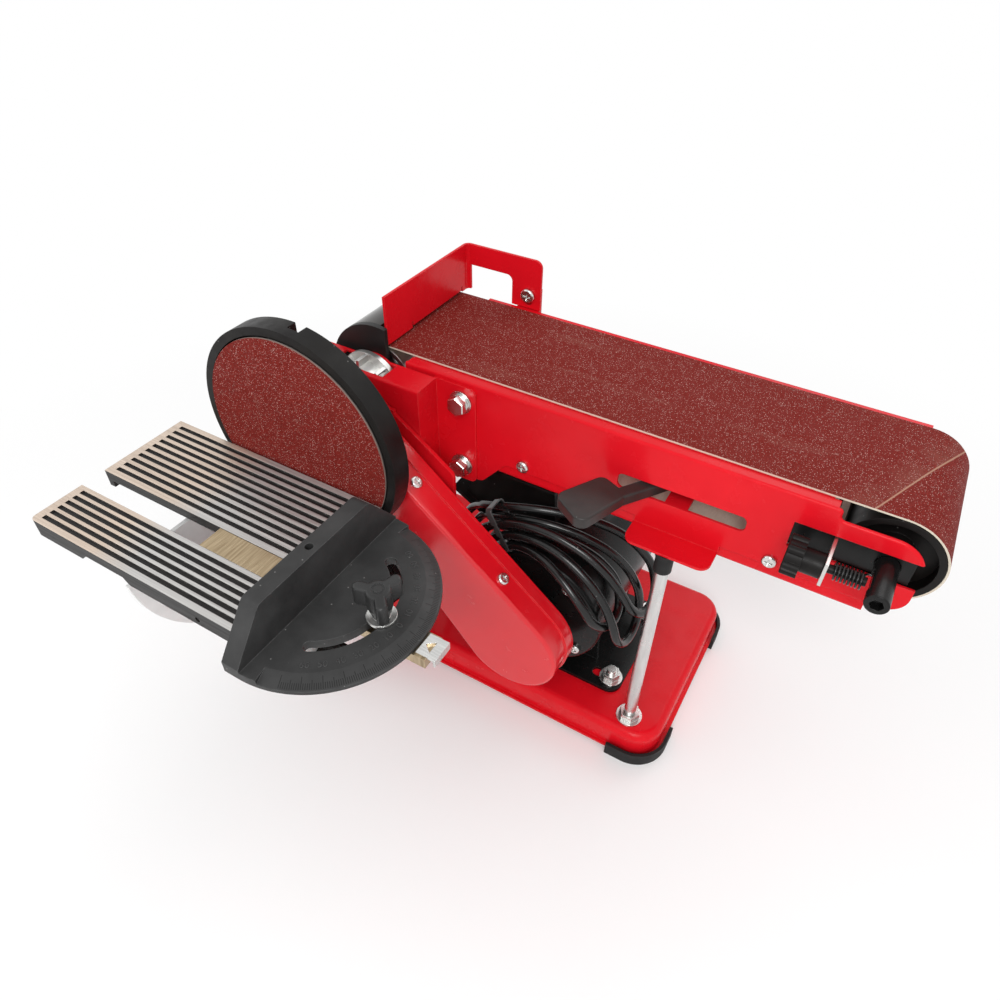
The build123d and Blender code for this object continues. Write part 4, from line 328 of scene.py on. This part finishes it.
def moulding(name, dark, light, lightened, rough, grain, shine):
    """Moulded plastic or rubber: fine grain, dust in patches, and a painted highlight in patches
    along the edges.
    """
    s = Shader(name)
    body = s.mix(s.span(s.noise(40, 5), 0.35, 0.7), dark, light)
    # Painted highlight: a paler edge colour in noisy patches along the edges
    edge_highlight = s.product(s.edges(0.0006), s.span(s.noise(200, 4), 0.4, 0.7, 0.1, 0.7))
    near, chance = s.cells(260)
    dust = s.product(s.math("GREATER_THAN", chance, 0.93), s.math("LESS_THAN", near, 0.12), 0.35)
    s.colour(s.mix(dust, s.mix(edge_highlight, body, lightened), (0.30, 0.29, 0.28)))
    s.roughness(s.span(s.noise(140, 4), 0.3, 0.7, rough - 0.08, rough + 0.08))
    s.set(Specular_IOR_Level=shine)
    s.bump(s.noise(1400, 2), grain)
    return s.material


def metal(name, dark, light, rough, scale, share=1.0):
    """Bare or plated metal with fine drawn lines and a painted highlight along the edges."""
    s = Shader(name)
    lines = s.noise(1, 4, 0.6, s.stretched(scale))
    body = s.mix(s.span(lines, 0.3, 0.7), dark, light)
    # Painted highlight: edges take a colour brighter than the metal's light tone
    s.colour(s.mix(s.product(s.edges(0.0005), 0.6), body, tuple(min(1, 1.25 * c) for c in light)))
    s.roughness(s.span(s.noise(50, 4), 0.3, 0.7, rough - 0.06, rough + 0.08))
    s.set(Metallic=share)
    s.bump(lines, 0.06)
    return s.material


red = paint(
    "red_paint",
    dark=(0.63, 0.005, 0.012),
    light=(0.75, 0.008, 0.017),
    lightened=(0.84, 0.07, 0.07),
    rough=0.24,
    peel=0.03,
    shine=0.15,
)
cover_red = paint(
    "cover_red",
    dark=(0.60, 0.005, 0.012),
    light=(0.71, 0.008, 0.017),
    lightened=(0.84, 0.07, 0.07),
    rough=0.20,
    peel=0.03,
    shine=0.60,
)
black_paint = paint(
    "black_paint",
    dark=grey(0.004),
    light=grey(0.008),
    lightened=grey(0.03),
    rough=0.26,
    peel=0.04,
    shine=0.22,
)
rubber = moulding(
    "rubber",
    dark=grey(0.012),
    light=grey(0.020),
    lightened=grey(0.05),
    rough=0.60,
    grain=0.20,
    shine=0.2,
)
plastic = moulding(
    "black_plastic",
    dark=(0.005, 0.004, 0.004),
    light=(0.010, 0.009, 0.008),
    lightened=(0.040, 0.036, 0.034),
    rough=0.42,
    grain=0.12,
    shine=0.17,
)
lever_plastic = moulding(
    "lever_plastic",
    dark=(0.022, 0.018, 0.017),
    light=(0.038, 0.032, 0.030),
    lightened=(0.10, 0.09, 0.085),
    rough=0.36,
    grain=0.08,
    shine=0.35,
)
sheath = moulding(
    "cord_sheath",
    dark=grey(0.004),
    light=grey(0.008),
    lightened=grey(0.02),
    rough=0.22,
    grain=0.02,
    shine=0.45,
)
tie = moulding(
    "tie",
    dark=grey(0.04),
    light=grey(0.07),
    lightened=grey(0.20),
    rough=0.18,
    grain=0.03,
    shine=0.5,
)
number_paint = moulding(
    "raised_numbers",
    dark=grey(0.040),
    light=grey(0.060),
    lightened=grey(0.12),
    rough=0.45,
    grain=0.10,
    shine=0.28,
)
zinc = metal(
    "zinc_steel",
    dark=(0.52, 0.52, 0.51),
    light=(0.74, 0.74, 0.72),
    rough=0.24,
    scale=(60, 900, 60),
)
rod_steel = metal(
    "rod_steel",
    dark=(0.58, 0.58, 0.57),
    light=(0.74, 0.74, 0.73),
    rough=0.30,
    scale=(300, 300, 30),
)
bar_steel = metal(
    "bar_steel",
    dark=(0.30, 0.22, 0.13),
    light=(0.54, 0.43, 0.28),
    rough=0.30,
    scale=(700, 40, 40),
)
# Tilt quadrants: plain steel whose colour is painted near-white and mostly non-metallic, a painted
# reflection over the steel
quadrant_steel = metal(
    "quadrant_steel",
    dark=(0.80, 0.80, 0.79),
    light=(0.92, 0.92, 0.91),
    rough=0.42,
    scale=(300, 40, 40),
    share=0.35,
)
disc_metal = metal(
    "disc_metal",
    dark=grey(0.16),
    light=(0.28, 0.28, 0.27),
    rough=0.40,
    scale=(90, 90, 90),
)
aluminium = metal(
    "cast_aluminium",
    dark=(0.46, 0.46, 0.45),
    light=(0.68, 0.67, 0.65),
    rough=0.34,
    scale=(90, 90, 90),
)
laminations = metal(
    "laminations",
    dark=grey(0.12),
    light=grey(0.22),
    rough=0.5,
    scale=(20, 900, 20),
)

# Drum hood: a shiny smoke-brown shell with a matt black cap on the disc side
HOOD_CAP_BACK = 0.0485
s = Shader("hood_shell")
(y,) = s.axes("Y")
cap = s.math("LESS_THAN", y, HOOD_CAP_BACK)
shell = s.mix(s.span(s.noise(25, 3), 0.35, 0.7), (0.016, 0.012, 0.009), (0.028, 0.022, 0.018))
body = s.mix(cap, shell, grey(0.005))
# Painted highlight along the edges
s.colour(s.mix(s.product(s.edges(0.0006), 0.5), body, (0.05, 0.045, 0.04)))
s.set(Specular_IOR_Level=0.4)
s.roughness(s.math("ADD", s.product(cap, 0.35), s.span(s.noise(80, 3), 0.3, 0.7, 0.10, 0.18)))
s.bump(s.product(cap, s.noise(1400, 2)), 0.12)
hood_shell = s.material

# Idler slide: black plate, with the bare edge of the tab that the tracking knob bears on
TAB_X, TAB_HALF, TAB_BACK = 0.1983, 0.0013, 0.0435
s = Shader("idler_slide")
x, y = s.axes("XY")
tab = s.product(
    s.math("LESS_THAN", s.math("ABSOLUTE", s.math("SUBTRACT", x, TAB_X)), TAB_HALF),
    s.math("LESS_THAN", y, TAB_BACK),
)
plate = s.mix(s.span(s.noise(60, 4), 0.35, 0.7), grey(0.005), grey(0.010))
# Painted highlight along the plate's edges
plate = s.mix(s.product(s.edges(0.0006), 0.4), plate, grey(0.04))
s.colour(s.mix(tab, plate, (0.66, 0.66, 0.64)))
s.metallic(tab)
s.roughness(s.span(s.noise(70, 4), 0.3, 0.7, 0.26, 0.42))
s.set(Specular_IOR_Level=0.22)
s.bump(s.noise(420, 2), 0.04)
slide_material = s.material

# Clamping knob of the miter gauge: black wings on a bright washer and bolt
WASHER_TOP = 0.25508
s = Shader("knob_on_washer")
(z,) = s.axes("Z")
steel = s.math("LESS_THAN", z, WASHER_TOP)
wings = s.mix(s.span(s.noise(40, 5), 0.35, 0.7), grey(0.020), grey(0.036))
# Painted highlight along the wings' edges
lightened = s.mix(s.product(s.edges(0.0007), 0.5), wings, grey(0.10))
s.colour(s.mix(steel, lightened, (0.70, 0.70, 0.68)))
s.metallic(steel)
s.roughness(s.span(s.noise(140, 4), 0.3, 0.7, 0.28, 0.44))
s.set(Specular_IOR_Level=0.3)
s.bump(s.noise(1400, 2), 0.10)
knob_material = s.material

# Protractor head: dusty black casting with a degree scale cut into its bevelled band
PIVOT_X, PIVOT_Y = -0.052839, -0.1295
SCALE_HALF = 70.4            # degrees either way
SCALE_REACH = 0.0690
SCALE_TOP = 0.2535
SCALE_LINES = ((1, 0.0656), (5, 0.0640), (10, 0.0622))  # degrees apart, inner end
LINE_FULL, LINE_GONE = 0.12, 0.22  # degrees from a line's middle
WHOLE_TURNS = 720.0          # keeps the angle above zero
s = Shader("protractor_casting")
x, y, z = s.axes("XYZ")
from_x = s.math("SUBTRACT", x, PIVOT_X)
from_y = s.math("SUBTRACT", y, PIVOT_Y)
degrees = s.product(s.math("ARCTAN2", from_y, from_x), 180 / math.pi)
reach = s.math("SQRT", s.math("ADD", s.product(from_x, from_x), s.product(from_y, from_y)))
on_scale = s.product(
    s.math("LESS_THAN", s.math("ABSOLUTE", degrees), SCALE_HALF),
    s.math("LESS_THAN", reach, SCALE_REACH),
    s.math("LESS_THAN", z, SCALE_TOP),
)
lines = []
for spacing, inner in SCALE_LINES:
    off = s.math("PINGPONG", s.math("ADD", degrees, WHOLE_TURNS), spacing / 2)
    drawn = s.span(off, LINE_FULL, LINE_GONE, 1.0, 0.0)
    lines.append(s.product(drawn, s.math("GREATER_THAN", reach, inner)))
any_line = s.math("MAXIMUM", lines[0], s.math("MAXIMUM", lines[1], lines[2]))
scale_lines = s.product(any_line, on_scale)
body = s.mix(s.span(s.noise(45, 5), 0.35, 0.7), grey(0.026), grey(0.044))
# Painted highlight: lighter grey in patches along the casting's edges
edge_highlight = s.product(s.edges(0.0007), s.span(s.noise(160, 4), 0.35, 0.7, 0.2, 0.9))
near, chance = s.cells(300)
dust = s.product(s.math("GREATER_THAN", chance, 0.92), s.math("LESS_THAN", near, 0.13), 0.4)
dusty = s.mix(dust, s.mix(edge_highlight, body, grey(0.13)), (0.40, 0.39, 0.38))
s.colour(s.mix(scale_lines, dusty, grey(0.004)))
s.roughness(s.span(s.noise(120, 4), 0.3, 0.7, 0.40, 0.56))
s.set(Specular_IOR_Level=0.28)
s.bump(s.math("SUBTRACT", s.product(s.noise(700, 3), 0.25), scale_lines), 0.35)
protractor_material = s.material


GRAINS_PER_METRE = 1900
BRIGHT_GRAINS = 0.20         # share of the grains painted with a glint


def grit(s):
    """Colour and relief of abrasive grain, with painted glints on a scattered share of the grains.
    """
    near, chance = s.cells(GRAINS_PER_METRE)
    fine = s.noise(1000, 3)
    shade = s.mix(s.span(fine, 0.3, 0.7), (0.110, 0.007, 0.005), (0.250, 0.021, 0.015))
    bright = s.span(chance, 1 - BRIGHT_GRAINS, 1.0)
    glint = s.product(bright, s.span(near, 0.28, 0.42, 1.0, 0.0))
    return s.mix(glint, shade, (1.0, 0.80, 0.72)), near


# Sanding belt: grain outside and pale cloth inside. Which side shows is told by the normal, held
# against the way out from the line between the two drums
NOSE_X, NOSE_Z, NOSE_RADIUS = 0.229339, 0.2685, 0.0315
TAIL_X = -0.140839
DRUM_LINE_Z = 0.271
CLEAR_OUTWARD = 0.005
BELT_Y = 0.1015
JOINT_SLOPE, JOINT_AHEAD = 0.432, 0.0038
s = Shader("belt_abrasive")
x, y, z = s.axes("XYZ")
grain, relief = grit(s)
held = s.add("ShaderNodeClamp")
s.link(x, held.inputs["Value"])
held.inputs["Min"].default_value = TAIL_X
held.inputs["Max"].default_value = NOSE_X
beyond = s.math("SUBTRACT", x, held.outputs[0])
offset = s.add("ShaderNodeCombineXYZ")
s.link(beyond, offset.inputs["X"])
s.link(s.math("SUBTRACT", z, DRUM_LINE_Z), offset.inputs["Z"])
facing = s.add("ShaderNodeVectorMath", operation="DOT_PRODUCT")
s.link(s.add("ShaderNodeTexCoord").outputs["Normal"], facing.inputs[0])
s.link(offset.outputs[0], facing.inputs[1])
outside = s.math("GREATER_THAN", facing.outputs["Value"], CLEAR_OUTWARD)
# The joint runs slantwise over the nose, with rubbed grain beside it
wrapped = s.product(s.math("ARCTAN2", beyond, s.math("SUBTRACT", z, NOSE_Z)), NOSE_RADIUS)
along = s.math("ADD", s.math("SUBTRACT", held.outputs[0], NOSE_X), wrapped)
slant = s.math("ADD", s.product(s.math("SUBTRACT", y, BELT_Y), JOINT_SLOPE), JOINT_AHEAD)
past_joint = s.math("SUBTRACT", along, slant)
on_top = s.math("GREATER_THAN", z, NOSE_Z)
joint = s.product(s.span(s.math("ABSOLUTE", past_joint), 0.0003, 0.0008, 1.0, 0.0), on_top)
before = s.product(
    s.span(past_joint, -0.024, -0.004), s.span(past_joint, -0.001, 0.0, 1.0, 0.0), on_top
)
scuffed = s.product(before, s.span(s.noise(60, 4), 0.35, 0.75, 0.0, 0.30))
lightened = s.product(s.span(s.noise(1, 4, 0.6, s.stretched((9, 50, 9))), 0.58, 0.8), 0.22)
face = s.mix(s.math("MAXIMUM", scuffed, lightened), grain, (0.34, 0.17, 0.13))
face = s.mix(s.product(joint, 0.75), face, (0.50, 0.29, 0.20))
threads = s.noise(1, 2, 0.5, s.stretched((1500, 300, 300)))
weave = s.mix(threads, (0.58, 0.50, 0.40), (0.76, 0.69, 0.58))
s.colour(s.mix(outside, weave, face))
s.roughness(s.span(s.noise(90, 3), 0.3, 0.7, 0.62, 0.80))
s.set(Specular_IOR_Level=0.12)
s.bump(s.math("ADD", relief, s.product(joint, -0.8)), 0.30, 0.0004)
belt_material = s.material

# Disc paper: the same grain, a pale cut edge and a few light scuffs
PAPER_FACE = -0.04925
s = Shader("disc_abrasive")
(y,) = s.axes("Y")
grain, relief = grit(s)
paper_edge = s.math("GREATER_THAN", y, PAPER_FACE)
scuffs = s.product(s.span(s.noise(1, 4, 0.6, s.stretched((95, 20, 24))), 0.62, 0.82), 0.40)
s.colour(s.mix(paper_edge, s.mix(scuffs, grain, (0.40, 0.27, 0.22)), (0.30, 0.21, 0.18)))
s.roughness(s.span(s.noise(90, 3), 0.3, 0.7, 0.60, 0.78))
s.set(Specular_IOR_Level=0.12)
s.bump(relief, 0.30, 0.0004)
disc_material = s.material

# Table: ground lands on a black casting
LAND_HEIGHT = 0.24695
WARM_END, COOL_START = -0.17, -0.14  # where the pale tint at the table's left end fades out
s = Shader("table_casting")
x, z = s.axes("XZ")
lines = s.noise(1, 5, 0.6, s.stretched((14, 700, 700)))
land = s.math("GREATER_THAN", z, LAND_HEIGHT)
cool = s.mix(s.span(lines, 0.3, 0.7), (0.46, 0.45, 0.44), (0.64, 0.63, 0.61))
warm = s.mix(s.span(lines, 0.3, 0.7), (0.54, 0.44, 0.36), (0.74, 0.62, 0.52))
ragged = s.math("ADD", x, s.product(s.noise(14, 3), 0.05))
ground = s.mix(s.span(ragged, WARM_END, COOL_START), warm, cool)
skin = s.mix(s.span(s.noise(300, 4), 0.3, 0.7), (0.007, 0.006, 0.006), (0.015, 0.013, 0.012))
# Painted highlight: paler grey in patches along the casting's edges
lit_edge = s.product(s.edges(0.0005), s.span(s.noise(220, 4), 0.4, 0.7, 0.1, 0.5))
s.colour(s.mix(lit_edge, s.mix(land, skin, ground), (0.34, 0.32, 0.30)))
s.metallic(s.product(land, 0.7))
s.roughness(s.span(lines, 0.3, 0.7, 0.36, 0.52))
s.set(Specular_IOR_Level=0.25)
s.bump(s.noise(500, 3), 0.10)
table_material = s.material

finish = {
    red: "base_tray column cover_pan arm_bracket belt_frame lower_cover work_stop platen",
    cover_red: "drive_cover",
    rubber: "rubber_feet rod_cap drive_belt",
    zinc: (
        "structure_bolts motor_mount_fasteners motor_cap_screws cover_screws arm_bolts stop_screw "
        "table_pivots miter_pointer drive_shaft motor_shaft bearings"
    ),
    rod_steel: "support_rod",
    bar_steel: "miter_bar",
    quadrant_steel: "tilt_quadrants",
    black_paint: (
        "motor_bracket motor_shell motor_front_cap motor_rear_cap table_bracket idler_axle"
    ),
    protractor_material: "miter_protractor",
    plastic: "disc_guard terminal_box switch_rocker tracking_knob table_lock_knob idler_drum",
    lever_plastic: "tension_lever",
    hood_shell: "drum_hood",
    knob_material: "miter_knob",
    aluminium: "bearing_carrier drive_drum drive_pulley motor_pulley",
    disc_metal: "disc_plate",
    laminations: "motor_stator motor_rotor",
    belt_material: "abrasive_belt",
    disc_material: "disc_paper",
    table_material: "table_top",
    slide_material: "idler_slide",
    sheath: "strain_relief plug tracking_spring",
    tie: "cord_tie",
}
for material, names in finish.items():
    for name in names.split():
        data = nodes[name].data
        data.materials.clear()
        data.materials.append(material)
curve.materials.append(sheath)

# Raised numbers of the protractor's scale, tens of degrees either way, read from outside
NUMBER_RING = 0.0555
NUMBER_SIZE = 0.0058
NUMBER_RAISE = 0.00025
PLATE_TOP = 0.25325
for mark in range(-60, 61, 10):
    text = bpy.data.curves.new(f"scale_number_{mark + 60:03d}", "FONT")
    text.body = str(abs(mark))
    text.size = NUMBER_SIZE
    text.extrude = NUMBER_RAISE
    text.align_x = "CENTER"
    text.align_y = "CENTER"
    text.materials.append(number_paint)
    number = bpy.data.objects.new(text.name, text)
    angle = math.radians(mark)
    number.location = (
        PIVOT_X + NUMBER_RING * math.cos(angle),
        PIVOT_Y + NUMBER_RING * math.sin(angle),
        PLATE_TOP,
    )
    number.rotation_euler = (0, 0, angle + math.pi / 2)
    scene.collection.objects.link(number)
    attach(number, "protractor")


# Floor, light and backdrop. Seen by the camera, in metal or through glass, both are white away
# from the machine; near it the floor shows its shadow
def seen(tree):
    """1 for rays from the camera, a reflection or a clear material."""
    path = tree.nodes.new("ShaderNodeLightPath")
    total = path.outputs["Is Camera Ray"]
    for name in ("Is Glossy Ray", "Is Transmission Ray"):
        add = tree.nodes.new("ShaderNodeMath")
        add.operation = "ADD"
        add.use_clamp = True
        tree.links.new(total, add.inputs[0])
        tree.links.new(path.outputs[name], add.inputs[1])
        total = add.outputs[0]
    return total


FLOOR = 6.0
SHADOW_REACH, WHITE_REACH = 0.34, 0.80  # where the floor starts to turn white and is white
floor_mesh = bpy.data.meshes.new("floor")
corners = [(-FLOOR, -FLOOR, 0), (FLOOR, -FLOOR, 0), (FLOOR, FLOOR, 0), (-FLOOR, FLOOR, 0)]
floor_mesh.from_pydata(corners, [], [(0, 1, 2, 3)])
floor = bpy.data.objects.new("floor", floor_mesh)
scene.collection.objects.link(floor)
s = Shader("floor")
s.colour(s.mix(s.noise(3, 2), grey(0.95), grey(0.97)))
s.set(Roughness=0.9, Specular_IOR_Level=0.1)
distance = s.add("ShaderNodeVectorMath", operation="LENGTH")
s.link(s.place, distance.inputs[0])
away = s.span(distance.outputs["Value"], SHADOW_REACH, WHITE_REACH)
glow = s.add("ShaderNodeEmission")
blend = s.add("ShaderNodeMixShader")
s.link(s.product(away, seen(s.tree)), blend.inputs["Fac"])
s.link(s.shader.outputs[0], blend.inputs[1])
s.link(glow.outputs[0], blend.inputs[2])
s.link(blend.outputs[0], s.tree.nodes["Material Output"].inputs["Surface"])
floor_mesh.materials.append(s.material)


LIT_POINT = Vector((0, 0, 0.2))
SKY_LIGHT = 0.66


def softbox(name, place, size, power):
    """A square lamp aimed at the machine."""
    data = bpy.data.lights.new(name, "AREA")
    data.size = size
    data.energy = power
    lamp = bpy.data.objects.new(name, data)
    lamp.location = place
    lamp.rotation_euler = (LIT_POINT - Vector(place)).to_track_quat("-Z", "Y").to_euler()
    scene.collection.objects.link(lamp)


softbox("key", (0.45, -1.1, 1.35), size=0.7, power=14.5)
softbox("fill", (-1.3, -0.7, 1.0), size=1.2, power=4)
softbox("back", (0.3, 1.4, 1.4), size=1.0, power=5)

world = bpy.data.worlds.new("studio")
scene.world = world
world.use_nodes = True
tree = world.node_tree
background = tree.nodes["Background"]
background.inputs["Color"].default_value = (1, 1, 1, 1)
background.inputs["Strength"].default_value = SKY_LIGHT
backdrop = tree.nodes.new("ShaderNodeBackground")
backdrop.inputs["Color"].default_value = (1, 1, 1, 1)
either = tree.nodes.new("ShaderNodeMixShader")
tree.links.new(seen(tree), either.inputs["Fac"])
tree.links.new(background.outputs[0], either.inputs[1])
tree.links.new(backdrop.outputs[0], either.inputs[2])
tree.links.new(either.outputs[0], tree.nodes["World Output"].inputs["Surface"])
scene.view_settings.view_transform = "Standard"

bpy.context.view_layer.update()
